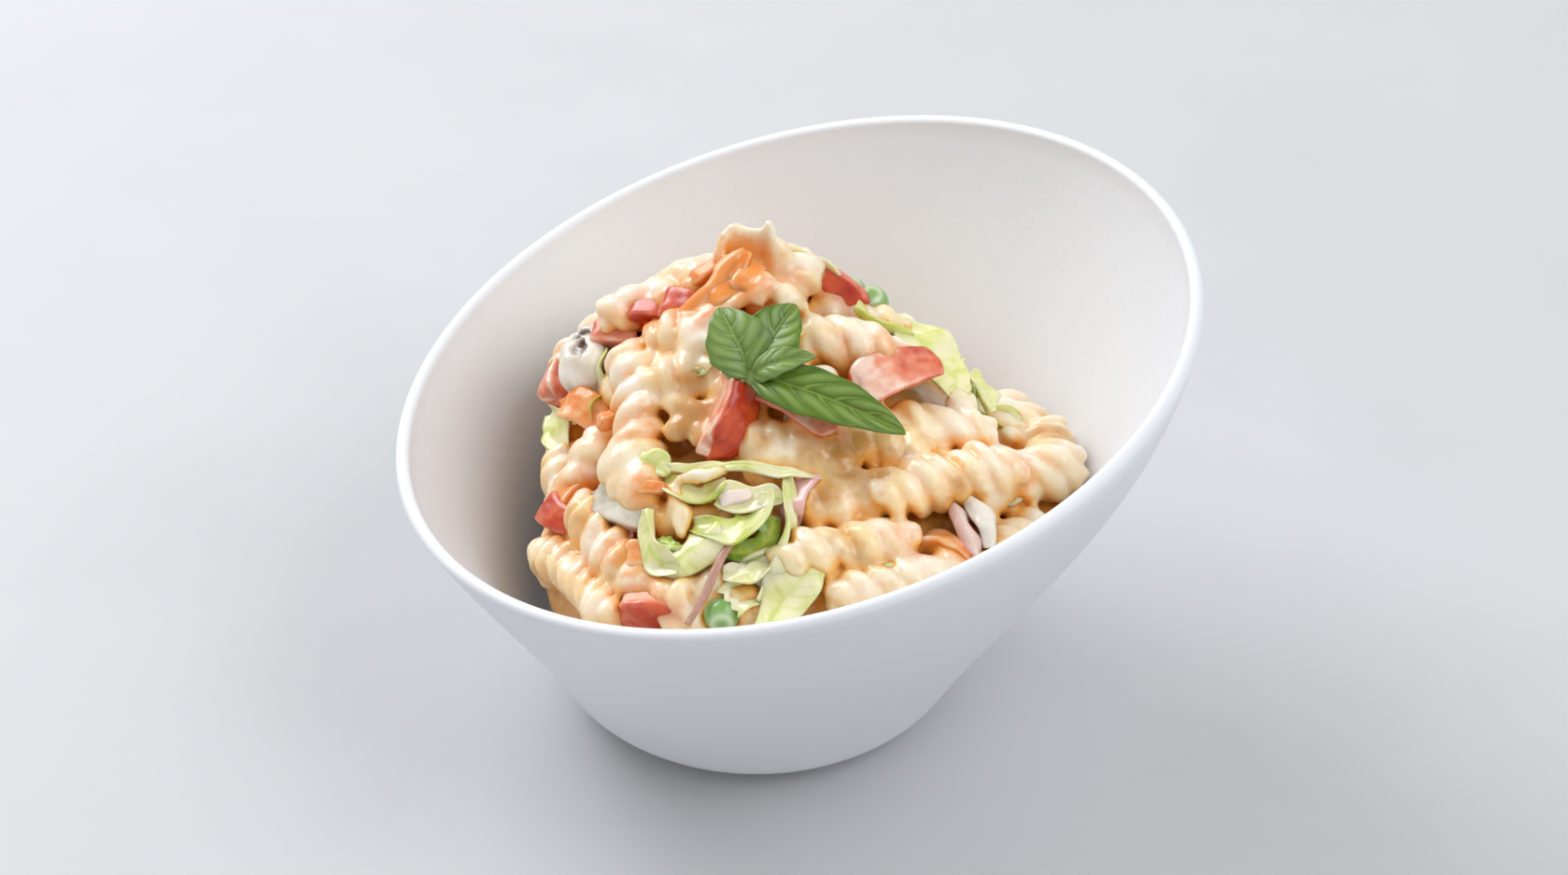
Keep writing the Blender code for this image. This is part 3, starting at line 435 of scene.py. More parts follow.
# Each light's name, place, size, power and colour
LIGHTS = (
    ("window", (-0.75, 0.75, 0.95), 0.8, 14, (0.94, 0.965, 1.0)),
    ("fill", (0.85, -0.35, 1.15), 1.0, 8.2, (0.93, 0.96, 1.0)),
)
LIGHT_TARGET = (0, 0, 0.06)
SKY_COLOUR = (1.0, 0.985, 0.975, 1)
SKY_STRENGTH = 0.62
CAMERA_PLACE = (0.00642, -0.80146, 0.69587)
CAMERA_TILT = 52
CAMERA_LENS = 100
CAMERA_SENSOR = 36


def quarter_round(height, rounding, inset):
    """How far a rounded bottom edge draws in at heights above its start."""
    share = 1 - np.clip(height, 0.0, rounding) / rounding
    return inset * (1 - np.sqrt(1 - share * share))


def wall_radius(z):
    """Radius of the outside, before its bottom edge is rounded."""
    return WALL_START + z * (WALL_FLARE + z * (WALL_SWELL + z * WALL_CURL))


def outer_radius(z):
    """Radius of the outside of the bowl at a height."""
    return wall_radius(z) - quarter_round(z, FOOT_ROUNDING, FOOT_INSET)


def inner_radius(z):
    """Radius of the inside of the bowl at a height."""
    plain = wall_radius(np.maximum(z, FOOT_ROUNDING)) - WALL
    return plain - quarter_round(z - FLOOR, INNER_ROUNDING, INNER_INSET)


def rim_height(theta):
    """Height of the top of the lip in a direction."""
    slope = math.tan(math.radians(RIM_TILT))
    height = np.full_like(theta, RIM_MIDDLE)
    for _ in range(8):
        height = RIM_MIDDLE + slope * (wall_radius(height) - WALL / 2) * np.cos(theta)
    return height


def curve(a, b, c, d, f):
    """Smooth curve from b to c as f goes from 0 to 1, with a before them and d after."""
    return b + 0.5 * f * (c - a + f * (2 * a - 5 * b + 4 * c - d + f * (3 * (b - c) + d - a)))


def around(values, theta):
    """Smooth curve through values that stand at equal steps round the circle."""
    table = np.asarray(values, float)
    place = (np.degrees(theta) % 360) / 360 * len(table)
    i = np.floor(place).astype(int)
    return curve(*(table[(i + step) % len(table)] for step in (-1, 0, 1, 2)), place - i)


def reach(ux, uy):
    """Distance from the peak to the wall in a direction, and the level there."""
    along = PEAK_X * ux + PEAK_Y * uy
    distance = 70.0
    for _ in range(4):
        level = around(WALL_LEVELS, np.arctan2(PEAK_Y + uy * distance, PEAK_X + ux * distance))
        rest = PEAK_X ** 2 + PEAK_Y ** 2 - inner_radius(level) ** 2
        distance = np.sqrt(along * along - rest) - along
    return distance, level


def mound(x, y):
    """Height of the smooth skin that the salad's pieces reach up to."""
    dx, dy = x - PEAK_X, y - PEAK_Y
    away = np.maximum(0.001, np.hypot(dx, dy))
    distance, level = reach(dx / away, dy / away)
    soft = math.hypot(1, PEAK_SOFTNESS) - PEAK_SOFTNESS
    share = (np.hypot(np.minimum(1.0, away / distance), PEAK_SOFTNESS) - PEAK_SOFTNESS) / soft
    return level + (PEAK_HEIGHT - level) * (1 - share) ** around(FALLS, np.arctan2(dy, dx))


def slope(x, y):
    """How steeply the mound climbs along X and along Y."""
    steps = ((SLOPE_STEP, 0), (0, SLOPE_STEP))
    return [(mound(x + dx, y + dy) - mound(x - dx, y - dy)) / (2 * SLOPE_STEP) for dx, dy in steps]


def placed(x, y, heading, rise, lift):
    """Where a piece lies: its long axis, its up side and its middle on the mound."""
    gx, gy = slope(x, y)
    turn = math.radians(heading)
    cx, cy = math.cos(turn), math.sin(turn)
    climb = gx * cx + gy * cy if rise is FOLLOW else math.tan(math.radians(rise))
    along = Vector((cx, cy, climb)).normalized()
    up = Vector((-gx, -gy, 1))
    side = up.cross(along).normalized()
    up = along.cross(side)
    matrix = Matrix((along, side, up)).transposed().to_4x4()
    matrix.translation = Vector((x, y, mound(x, y) + lift))
    return matrix


def moved(points, matrix):
    """Points in a piece's own frame, taken to where the piece lies."""
    turn = np.array(matrix.to_3x3())
    return np.asarray(points, float) @ turn.T + np.array(matrix.translation)


def overhang(points):
    """How far a plain piece's worst point would poke into the bowl's wall."""
    flat = math.cos(math.pi / SOLID_SEGMENTS)
    room = inner_radius(np.maximum(points[:, 2], FLOOR + 1)) * flat - PIECE_GAP
    return max(0.0, float(np.max(np.hypot(points[:, 0], points[:, 1]) - room)))


def settled(points, x, y, heading, rise, lift):
    """Where a piece lies once it is moved up the mound until the bowl is clear of it."""
    for _ in range(SETTLE_TRIES):
        matrix = placed(x, y, heading, rise, lift)
        excess = overhang(moved(points, matrix))
        if excess <= 0:
            return matrix
        way = Vector((PEAK_X - x, PEAK_Y - y)).normalized() * (excess + 0.3)
        x, y = x + way.x, y + way.y
    return None


def strewn(rng, start, end, edge, low=0.0, high=1.0):
    """A random spot on the salad, between two directions and two shares of the way out."""
    angle = rng.uniform(start, end)
    distance, _level = reach(math.cos(angle), math.sin(angle))
    away = math.sqrt(rng.uniform(low, high)) * (distance - edge)
    return PEAK_X + away * math.cos(angle), PEAK_Y + away * math.sin(angle)


def smooth_line(points, steps):
    """A smooth line through a few points, as evenly spaced steps."""
    points = np.asarray(points, float)
    padded = np.concatenate((2 * points[:1] - points[1:2], points, 2 * points[-1:] - points[-2:-1]))
    place = np.linspace(0, len(points) - 1, steps)
    i = np.minimum(place.astype(int), len(points) - 2)
    return curve(*(padded[i + step] for step in range(4)), (place - i)[:, None])


def clear_of_bowl(points, gap=WALL_CLEARANCE):
    """Points drawn in where they would touch the bowl."""
    away = np.hypot(points[:, 0], points[:, 1])
    room = inner_radius(np.maximum(points[:, 2], FLOOR + 1)) - gap
    points = points.copy()
    points[:, :2] *= np.minimum(1.0, room / np.maximum(away, 0.001))[:, None]
    return points


def lumps(points, size, shift=0.0):
    """Smooth noise between about -1 and 1 at points, its lumps of one size."""
    places = points / size + shift
    return np.fromiter((noise.noise(Vector(place)) for place in places), float, len(places))


def wander(points, size, shifts):
    """Smooth noise in each direction at points, its lumps of one size."""
    return np.stack([lumps(points, size, shift) for shift in shifts], 1)


def circle(count):
    """Angles at equal steps round a circle."""
    return np.linspace(0, 2 * math.pi, count, endpoint=False)


def grid_points(x, y, z):
    """The points of a grid, row by row."""
    return np.stack(np.broadcast_arrays(x, y, z), -1).reshape(-1, 3)


def grid_faces(rows, columns, closed):
    """Faces of a grid of points, row by row, its columns joined round or not."""
    across = np.arange(columns if closed else columns - 1)
    i, j = np.meshgrid(np.arange(rows - 1) * columns, across, indexing="ij")
    k = (j + 1) % columns
    quads = np.stack((i + j, i + k, i + columns + k, i + columns + j), -1)
    return [tuple(quad) for quad in quads.reshape(-1, 4).tolist()]


def tube_faces(rows, columns):
    """Faces of a grid that is joined round and has a cap at both ends."""
    last = (rows - 1) * columns
    caps = [tuple(range(columns))[::-1], tuple(range(last, last + columns))]
    return grid_faces(rows, columns, True) + caps


def sheet_faces(rows, columns):
    """Faces of a thin body: its points are the grid of its top, then that of its underside."""
    count = rows * columns
    faces = grid_faces(rows, columns, False)
    faces += [tuple(i + count for i in face)[::-1] for face in faces]
    edge = [i * columns for i in range(rows)]
    edge += [(rows - 1) * columns + j for j in range(1, columns)]
    edge += [i * columns + columns - 1 for i in range(rows - 2, -1, -1)]
    edge += list(range(columns - 2, 0, -1))
    return faces + [(a, b, b + count, a + count) for a, b in zip(edge, edge[1:] + edge[:1])]


def both_sheets(value, rows, columns):
    """A value of each point of a grid, for the top of a thin body and for its underside."""
    return np.tile(np.broadcast_to(value, (rows, columns)).reshape(-1), 2)


class Batch:
    """All the pieces of one kind, gathered as one mesh, with values at its points."""

    def __init__(self, *marks):
        self.points, self.faces = [], []
        self.marks = {mark: [] for mark in marks}
        self.count = 0

    def add(self, points, faces, **values):
        """Add one piece: a value is a number for all of it, or one for each point."""
        self.points.append(points)
        self.faces += [tuple(i + self.count for i in face) for face in faces]
        self.count += len(points)
        for mark, rows in self.marks.items():
            rows.append(np.broadcast_to(values[mark], len(points)))

    def all_points(self):
        """Every point, as one array."""
        return np.concatenate(self.points)


def piece(name, points, faces, material, marks=None):
    """Turn points in millimetres into a smooth object in metres that rides on the part."""
    mesh = bpy.data.meshes.new(name)
    mesh.from_pydata((np.asarray(points) * MM).tolist(), [], faces)
    mesh.validate()
    shape = bmesh.new()
    shape.from_mesh(mesh)
    bmesh.ops.recalc_face_normals(shape, faces=shape.faces)
    shape.to_mesh(mesh)
    shape.free()
    mesh.shade_smooth()
    for mark, values in (marks or {}).items():
        values = np.asarray(values, np.float32)
        mesh.attributes.new(mark, "FLOAT", "POINT").data.foreach_set("value", values)
    mesh.materials.append(material)
    item = bpy.data.objects.new(name, mesh)
    bpy.context.scene.collection.objects.link(item)
    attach(item, "root")
    return item


def batch_piece(name, batch, material):
    """The object of a batch of pieces."""
    marks = {mark: np.concatenate(rows) for mark, rows in batch.marks.items()}
    return piece(name, batch.all_points(), batch.faces, material, marks)


def read(items, name, columns, kind=float):
    """A value of every point or edge of a mesh, as an array."""
    found = np.empty(len(items) * columns, kind)
    items.foreach_get(name, found)
    return found.reshape(-1, columns)


def shaped(points, faces, modifier, **settings):
    """Points and faces, and edges, after one modifier has worked on them."""
    mesh = bpy.data.meshes.new("cage")
    mesh.from_pydata(np.asarray(points).tolist(), [], faces)
    item = bpy.data.objects.new("cage", mesh)
    bpy.context.scene.collection.objects.link(item)
    worker = item.modifiers.new("shaped", modifier)
    for name, value in settings.items():
        setattr(worker, name, value)
    ready = item.evaluated_get(bpy.context.evaluated_depsgraph_get())
    fine = bpy.data.meshes.new_from_object(ready)
    found = read(fine.vertices, "co", 3)
    edges = read(fine.edges, "vertices", 2, int)
    fine_faces = [tuple(polygon.vertices) for polygon in fine.polygons]
    bpy.data.objects.remove(item)
    bpy.data.meshes.remove(mesh)
    bpy.data.meshes.remove(fine)
    return found, fine_faces, edges


def relaxed(points, edges, rounds):
    """Points, or values at points, drawn towards the mean of their neighbours."""
    count = len(points)
    ends = np.concatenate((edges[:, 0], edges[:, 1]))
    others = np.concatenate((edges[:, 1], edges[:, 0]))
    degree = np.maximum(1, np.bincount(ends, minlength=count))[:, None]
    for _ in range(rounds):
        sums = [np.bincount(ends, points[others, k], count) for k in range(points.shape[1])]
        points = 0.5 * points + 0.5 * np.stack(sums, 1) / degree
    return points


def point_normals(points, faces):
    """Normals at the points of a mesh."""
    mesh = bpy.data.meshes.new("normals")
    mesh.from_pydata(np.asarray(points).tolist(), [], faces)
    found = read(mesh.vertices, "normal", 3)
    bpy.data.meshes.remove(mesh)
    return found


def nearest(samples, points):
    """For each point, which sample lies nearest to it and how far away."""
    tree = KDTree(len(samples))
    for i, sample in enumerate(samples):
        tree.insert(sample, i)
    tree.balance()
    found = np.array([tree.find(point)[1:] for point in points])
    return found[:, 0].astype(int), found[:, 1]


# Materials

class Look:
    """A Principled material, its colour laid on in layers."""

    def __init__(self, name, roughness, **settings):
        self.material = bpy.data.materials.new(name)
        self.material.use_nodes = True
        self.tree = self.material.node_tree
        self.shader = self.tree.nodes["Principled BSDF"]
        self.shader.inputs["Roughness"].default_value = roughness
        for socket, value in settings.items():
            self.shader.inputs[socket.replace("_", " ")].default_value = value

    def wire(self, value, socket):
        """Set a socket to a number or a colour, or link it to an output."""
        if isinstance(value, bpy.types.NodeSocket):
            self.tree.links.new(value, socket)
        else:
            socket.default_value = (*value, 1) if isinstance(value, tuple) else value

    def mark(self, name):
        """A value that the mesh holds at its points."""
        node = self.tree.nodes.new("ShaderNodeAttribute")
        node.attribute_name = name
        return node.outputs["Fac"]

    def grain(self, size, detail=2.0, stretch=(1, 1, 1)):
        """Noise in the object's own space, its lumps of one size in millimetres."""
        place = self.tree.nodes.new("ShaderNodeTexCoord")
        scaled = self.tree.nodes.new("ShaderNodeMapping")
        scaled.inputs["Scale"].default_value = stretch
        self.wire(place.outputs["Object"], scaled.inputs["Vector"])
        node = self.tree.nodes.new("ShaderNodeTexNoise")
        node.inputs["Scale"].default_value = 1 / (size * MM)
        node.inputs["Detail"].default_value = detail
        self.wire(scaled.outputs["Vector"], node.inputs["Vector"])
        return node.outputs["Fac"]

    def span(self, value, low, high, start=0.0, end=1.0):
        """A value stretched from one range to another, and held inside it."""
        node = self.tree.nodes.new("ShaderNodeMapRange")
        self.wire(value, node.inputs["Value"])
        sockets = ("From Min", "From Max", "To Min", "To Max")
        for socket, number in zip(sockets, (low, high, start, end)):
            node.inputs[socket].default_value = number
        return node.outputs["Result"]

    def speckle(self, size, start, end):
        """Noise that runs over a range of values."""
        return self.span(self.grain(size), 0.3, 0.7, start, end)

    def plus(self, first, second):
        """The sum of two values."""
        node = self.tree.nodes.new("ShaderNodeMath")
        node.operation = "ADD"
        self.wire(first, node.inputs[0])
        self.wire(second, node.inputs[1])
        return node.outputs["Value"]

    def blend(self, share, first, second):
        """One colour turning into another as the share goes from 0 to 1."""
        node = self.tree.nodes.new("ShaderNodeMix")
        node.data_type = "RGBA"
        self.wire(share, node.inputs["Factor"])
        self.wire(first, node.inputs[6])
        self.wire(second, node.inputs[7])
        self.colour = node.outputs[2]
        return self.colour

    def layer(self, share, colour):
        """Lay one more colour over the colour so far."""
        self.blend(share, self.colour, colour)

    def relief(self, height, strength, depth):
        """Small relief, its depth in millimetres."""
        node = self.tree.nodes.new("ShaderNodeBump")
        node.inputs["Strength"].default_value = strength
        node.inputs["Distance"].default_value = depth * MM
        self.wire(height, node.inputs["Height"])
        self.wire(node.outputs["Normal"], self.shader.inputs["Normal"])

    def finished(self):
        """The material, with its colour so far."""
        self.wire(self.colour, self.shader.inputs["Base Color"])
        return self.material


def bowl_material():
    """Matt white glaze with a fine pebbled grain."""
    look = Look("white glaze", 0.42, IOR=1.5)
    look.blend(look.grain(24), *GLAZE_WHITES)
    look.relief(look.plus(look.grain(1.3, 1.0), look.grain(3.5, 1.0)), 0.35, 0.12)
    return look.finished()


def cream_material():
    """Pasta in its dressing: painted top light and paler dressing on top, painted shade in creases,
    gaps and closed-in places, tinted by what lies near.
    """
    look = Look(
        "dressed pasta", 0.30, Subsurface_Weight=0.6, Subsurface_Radius=(1.0, 0.55, 0.22),
        Subsurface_Scale=0.0042, IOR=1.46, Coat_Weight=0.5, Coat_Roughness=0.10)
    shade, tone, deep_gap_shading, blush, glow = (
        look.plus(look.mark(name), look.speckle(size, start, end))
        for name, size, start, end in (
            ("shade", 4, -0.04, 0.04), ("groove", 8, -0.25, 0.25), ("deep_gap_shade", 6, -0.3, 0.3),
            ("red", 4, -0.2, 0.1), ("orange", 3, -0.25, 0.15)))
    # Ridge tops turn to painted crease shade the deeper a point lies in a crease
    look.blend(look.span(tone, 0.05, 0.85), RIDGE_TOP, CREASE_SHADE_COLOUR)
    # Layer on paler dressing with painted top light, painted gap shade, a green tint, painted
    # shade, the red and orange tints, and deeper painted shade
    for value, low, high, most, colour in (
            (look.mark("milk_and_top_light"), 0.25, 0.80, 0.92, MILK_AND_TOP_LIGHT),
            (deep_gap_shading, 0.20, 0.85, 0.95, GAP_SHADE_BROWN),
            (look.mark("green"), 0.1, 1.0, 0.35, GREENISH),
            (shade, 0.10, 0.38, 0.90, SHADES[0]),
            (blush, 0.2, 1.0, 0.7, BLUSH),
            (glow, 0.1, 1.0, 0.9, GLOW),
            (shade, 0.38, 0.58, 0.95, SHADES[1]),
            (shade, 0.58, 0.78, 1.0, SHADES[2])):
        look.layer(look.span(value, low, high, 0.0, most), colour)
    look.wire(look.speckle(5, 0.22, 0.40), look.shader.inputs["Roughness"])
    look.relief(look.grain(2.6), 0.25, 0.45)
    return look.finished()


def flesh_material(name, deep, middle, dressed, coated):
    """Cut vegetables: clear colour where bare, paler where the dressing coats them and along their
    ridges, where the paleness is a painted highlight.
    """
    look = Look(
        name, 0.25, Subsurface_Weight=0.25, Subsurface_Radius=(1.0, 0.45, 0.25),
        Subsurface_Scale=0.0025, IOR=1.42, Coat_Weight=0.5, Coat_Roughness=0.12)
    look.blend(look.span(look.grain(5), 0.35, 0.65), deep, middle)
    veil = look.span(look.grain(3.2, 3.0), 0.25, 0.75, -0.25, 0.25)
    veil = look.plus(look.mark("coat"), veil)
    look.layer(look.span(veil, 0.15, 0.75), dressed)
    look.layer(look.span(veil, 0.75, 1.15), coated)
    if name == "mushroom":
        look.layer(look.span(look.mark("pink"), 0.0, 1.0, 0.0, 0.8), ONION_PINK)
        # Painted shade in the olive's dents
        look.layer(look.span(look.mark("hole"), 0.25, 0.8), OLIVE_HOLE_SHADE)
    look.wire(look.speckle(4, 0.16, 0.36), look.shader.inputs["Roughness"])
    look.relief(look.grain(1.6, 3.0), 0.30, 0.4)
    return look.finished()


def leaf_material():
    """Lettuce and cabbage: white ribs that turn through yellow green to dark edges."""
    look = Look(
        "lettuce", 0.28, Subsurface_Weight=0.3, Subsurface_Radius=(0.9, 1.0, 0.35),
        Subsurface_Scale=0.0025, IOR=1.42, Coat_Weight=0.5, Coat_Roughness=0.10)
    ribs = look.plus(look.grain(3.0, 3.0), look.span(look.mark("rib"), 0.0, 1.0, 0.12, -0.30))
    tone = look.plus(look.mark("green"), look.span(ribs, 0.25, 0.75, -0.20, 0.20))
    white, *greens = LEAF_GREENS
    look.blend(look.span(tone, 0.0, 0.30), white, greens[0])
    for low, high, colour in zip((0.28, 0.62, 0.90), (0.62, 0.90, 1.25), greens[1:]):
        look.layer(look.span(tone, low, high), colour)
    look.layer(look.span(look.mark("coat"), 0.2, 1.0, 0.0, 0.70), LEAF_DRESSING)
    look.relief(look.grain(2.2, 3.0), 0.30, 0.35)
    return look.finished()


def pea_material():
    """Peas: green skin, with a painted highlight ring and a paler patch on the side away from it.
    """
    look = Look(
        "pea", 0.25, Subsurface_Weight=0.2, Subsurface_Radius=(0.6, 1.0, 0.3),
        Subsurface_Scale=0.002, Coat_Weight=0.5, Coat_Roughness=0.1)
    look.blend(look.grain(3), *PEA_GREENS)
    look.layer(look.mark("coat"), PEA_HIGHLIGHT_AND_PALE)
    return look.finished()


def basil_material():
    """Basil: deep green, lighter along its veins, with painted highlights where it bulges between
    them.
    """
    look = Look(
        "basil", 0.33, Subsurface_Weight=0.08, Subsurface_Radius=(0.5, 1.0, 0.2),
        Subsurface_Scale=0.001, IOR=1.42, Coat_Weight=0.15, Coat_Roughness=0.2)
    look.blend(look.span(look.grain(4.0, 3.0), 0.3, 0.7), *BASIL_GREENS)
    # Painted highlight on the bulges
    look.layer(look.span(look.mark("bulge"), 0.25, 1.0, 0.0, 0.8), BASIL_BULGE_HIGHLIGHT)
    look.layer(look.span(look.mark("vein"), 0.35, 1.0, 0.0, 0.6), BASIL_VEIN)
    look.layer(look.mark("pale"), BASIL_PALE)
    look.relief(look.grain(0.9), 0.25, 0.15)
    return look.finished()


def strip_material():
    """The thin strip of red onion skin."""
    look = Look("onion strip", 0.35, Coat_Weight=0.3)
    streaks = look.grain(1.2, 3.0, (1.0, 1.0, 0.25))
    look.blend(streaks, *STRIP_BROWNS)
    look.relief(streaks, 0.4, 0.3)
    return look.finished()


def floor_material():
    """Plain pale floor."""
    look = Look("pale floor", 0.6)
    look.blend(look.grain(60, 3.0), *FLOOR_GREYS)
    return look.finished()


# Bowl

def bowl_profile():
    """Half section of the upright blank: up the inside, over the lip, down the outside."""
    half = WALL / 2
    shoulder = RIM_MIDDLE - half
    walls = np.linspace(SLIDE_FROM + 2, shoulder, 20)
    rounds = np.concatenate((np.linspace(0, 1, 4) ** 2, np.linspace(1, 15, 12)[1:]))
    lip_radius = wall_radius(shoulder) - half
    turns = np.radians(np.linspace(180, 0, 13))[1:-1]
    parts = [
        [(r, FLOOR) for r in np.linspace(0.4, inner_radius(FLOOR), 5)[:-1]],
        [(inner_radius(FLOOR + z), FLOOR + z) for z in rounds],
        [(inner_radius(z), z) for z in walls],
        [(lip_radius + half * math.cos(turn), shoulder + half * math.sin(turn)) for turn in turns],
        [(outer_radius(z), z) for z in walls[::-1]],
        [(outer_radius(z), z) for z in rounds[::-1]],
        [(r, 0.0) for r in np.linspace(outer_radius(0.0), 0.4, 5)[1:]],
    ]
    return np.array([point for part in parts for point in part], float)


def make_bowl():
    """The bowl as in the solids, with finer sides."""
    profile = bowl_profile()
    theta = circle(BOWL_SEGMENTS)
    radius, z = profile[:, :1], profile[:, 1:]
    share = np.clip((z - SLIDE_FROM) / (RIM_MIDDLE - WALL / 2 - SLIDE_FROM), 0, 1)
    height = z + share * (rim_height(theta) - RIM_MIDDLE)[None, :]
    grown = radius + wall_radius(height) - wall_radius(z)
    points = grid_points(grown * np.cos(theta), grown * np.sin(theta), height)
    bowl = piece("white_bowl", points, tube_faces(len(profile), BOWL_SEGMENTS), bowl_material())
    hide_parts("bowl")


# Plain blanks, drawn in the order of the solids' random numbers

def twist_draw(length, radius, bend, ridges, rng):
    """The values of one twist, where its blades start at random, and its plain points."""
    pitch = TWIST_PITCH_SHARE * radius * rng.uniform(0.85, 1.1)
    start = rng.uniform(0, 120)
    valley = radius * (1 - TWIST_VALLEY_SHARE * ridges)
    steps = max(4, round(length / pitch * 360 / TWIST_RING_TURN))
    points = []
    for step in range(steps + 1):
        share = step / steps
        x, y = (share - 0.5) * length, bend * (1 - (2 * share - 1) ** 2)
        for i in range(2 * BLADES):
            turn = math.radians(start + 360 * share * length / pitch + 180 * i / BLADES)
            out = valley if i % 2 else radius
            points.append((x, y + out * math.cos(turn), out * math.sin(turn)))
    return (length, radius, bend, start, ridges), np.array(points)


def chunk_points(length, width, height, rng):
    """Corners of one plain cut piece: a block with uneven faces, thinner at one end."""
    bm = bmesh.new()
    bmesh.ops.create_cube(bm, size=1)
    for vertex in bm.verts:
        taper = 1 - 0.22 * (vertex.co.x + 0.5)
        vertex.co.y *= taper
        vertex.co.z *= taper
        vertex.co += Vector([rng.uniform(-0.07, 0.07) for _ in range(3)])
    bmesh.ops.bevel(bm, geom=bm.edges, offset=0.1, segments=1, affect="EDGES")
    bm.transform(Matrix.Diagonal((length, width, height, 1)))
    points = np.array([vertex.co[:] for vertex in bm.verts])
    bm.free()
    return points


def leaf_draw(length, width, rng):
    """The random values of one shred of lettuce, and its plain points."""
    phase = rng.uniform(0, 6)
    swing = rng.uniform(0.8, 1.3)
    points = []
    for side in (0.55, -0.55):
        for i in range(8):
            u = i / 7 - 0.5
            taper = 1 - 1.3 * u * u
            for j in range(4):
                v = j / 3 - 0.5
                wave = swing * math.sin(9 * u + phase + 2 * v) + 5 * v * v
                points.append((u * length, v * width * taper, wave + side))
    return (length, width, phase, swing), np.array(points)


def fill_spots(rng):
    """Spots for the unlisted pieces: spread evenly over what is still bare."""
    rows = TWISTS + TOMATO + CARROT + PALE + LEAVES + PEAS
    taken = [Vector((x, y, mound(x, y))) for x, y, *_rest in rows]
    found = []
    for _ in range(FILL_TRIES):
        x, y = strewn(rng, 0, 2 * math.pi, FILL_EDGE)
        spot = Vector((x, y, mound(x, y)))
        if spot.y > FILL_FROM_Y and all((spot - other).length > FILL_SPACING for other in taken):
            taken.append(spot)
            found.append((spot.x, spot.y))
    return found


# Fine shapes

def twist_shape(length, spacing, blades, radius, bend, start, ridges, flare, look):
    """One pasta twist: blades that wind round it, unevenly filled with dressing."""
    rings = round(length / TWIST_STEP)
    caps = np.array(TWIST_CAPS)
    zeros = np.zeros(len(caps))
    share = np.concatenate((zeros, np.linspace(0, 1, rings + 1), zeros + 1))
    cap = np.concatenate((caps[::-1], np.ones(rings + 1), caps))
    away = share * length
    scale = cap * (1 - 0.34 * np.exp(-(np.minimum(away, length - away) / 2.4) ** 2))
    slow = [lumps(grid_points(away / 11, look, 9 * k), 1.0) for k in range(4)]
    phi = circle(TWIST_SIDES)
    turn = math.radians(start) + 2 * math.pi * away / (spacing * blades) + 0.9 * slow[0] / blades
    wave = blades * (phi[None, :] - turn[:, None])
    wave = (wave + 0.35 * (1 - np.cos(wave))) % (2 * math.pi)
    lobe = (1 - np.exp(-((wave - math.pi) / 0.95) ** 2)) * (0.88 + 0.12 * np.cos(wave))
    places = grid_points((away / 8 + look)[:, None], np.cos(phi), np.sin(phi))
    filled = lumps(places, 1.0, look).reshape(lobe.shape)
    depth = radius * RIDGE_DEPTH * np.clip(ridges * (1.1 + 0.9 * filled), 0.10, 1.15)
    swell = (1 + 0.14 * slow[1] + 0.05 * np.sin(away * 0.5 + look))[:, None]
    out = (radius * swell - depth * (1 - lobe)) * scale[:, None]
    ends = np.sign(share - 0.5) * np.abs(2 * share - 1) ** 14
    tips = flare * (lobe * cap[:, None] - 0.6) * ends[:, None]
    dome = ends[:, None] * 2.0 * np.sqrt(1 - cap ** 2)[:, None]
    x = ((share - 0.5) * length)[:, None] + tips + dome
    sideways = (bend * (1 - (2 * share - 1) ** 2) + 1.6 * slow[2])[:, None]
    lifted = slow[3][:, None]
    points = grid_points(x, sideways + out * np.cos(phi), lifted + out * np.sin(phi))
    count, rows = len(points), len(share)
    faces = grid_faces(rows, TWIST_SIDES, True)
    middles = [(x[row].mean(), sideways[row, 0], lifted[row, 0]) for row in (0, -1)]
    for centre, base in ((count, 0), (count + 1, (rows - 1) * TWIST_SIDES)):
        faces += [(base + j, base + (j + 1) % TWIST_SIDES, centre) for j in range(TWIST_SIDES)]
    # How deep in a crease each point lies, which paints shade there
    groove = ((1 - lobe) * depth / (radius * RIDGE_DEPTH)) ** 0.9
    return np.concatenate((points, middles)), faces, np.append(groove, (0.6, 0.6))


def wedge_shape(length, width, height, corners, roll, side, paler, near, bow, look):
    """One cut piece of vegetable: flat faces that meet in ridges, and how pale each part is, its
    ridges painted paler as a highlight.
    """
    rows, sides = 36, 48
    t = np.linspace(-1, 1, rows)[:, None]
    phi = circle(sides)[None, :]
    step = 2 * math.pi / corners
    corner = (phi - math.radians(90 + roll)) % step - step / 2
    flat = math.cos(step / 2) / np.cos(corner)
    out = (flat ** -9 + 0.93 ** -9) ** (-1 / 9)
    size = (1 - np.abs(t) ** 5) ** 0.25 * (1 - 0.18 * t) + 0.02
    x = t * length / 2 + 0.08 * length * np.sin(phi) * np.abs(t)
    y = out * np.cos(phi) * width * 0.56 * size + bow * (1 - t * t)
    z = out * np.sin(phi) * height * 0.60 * size - 0.12 * length * t * t * 0.5
    edge = np.exp(-((step / 2 - np.abs(corner)) / 0.16) ** 2)
    streak = lumps(grid_points(t * length / 14, 2.2 * phi, look), 1.0)
    toward = np.clip((np.cos(phi - math.radians(side)) - 0.40) / 0.2, 0, 1)
    # Paler on one side and at one end, and paler along the ridges as a painted highlight
    pale = paler * (2 * toward - 1) - near * t + 0.35 * edge
    return grid_points(x, y, z), tube_faces(rows, sides), pale.reshape(-1) + 0.22 * streak


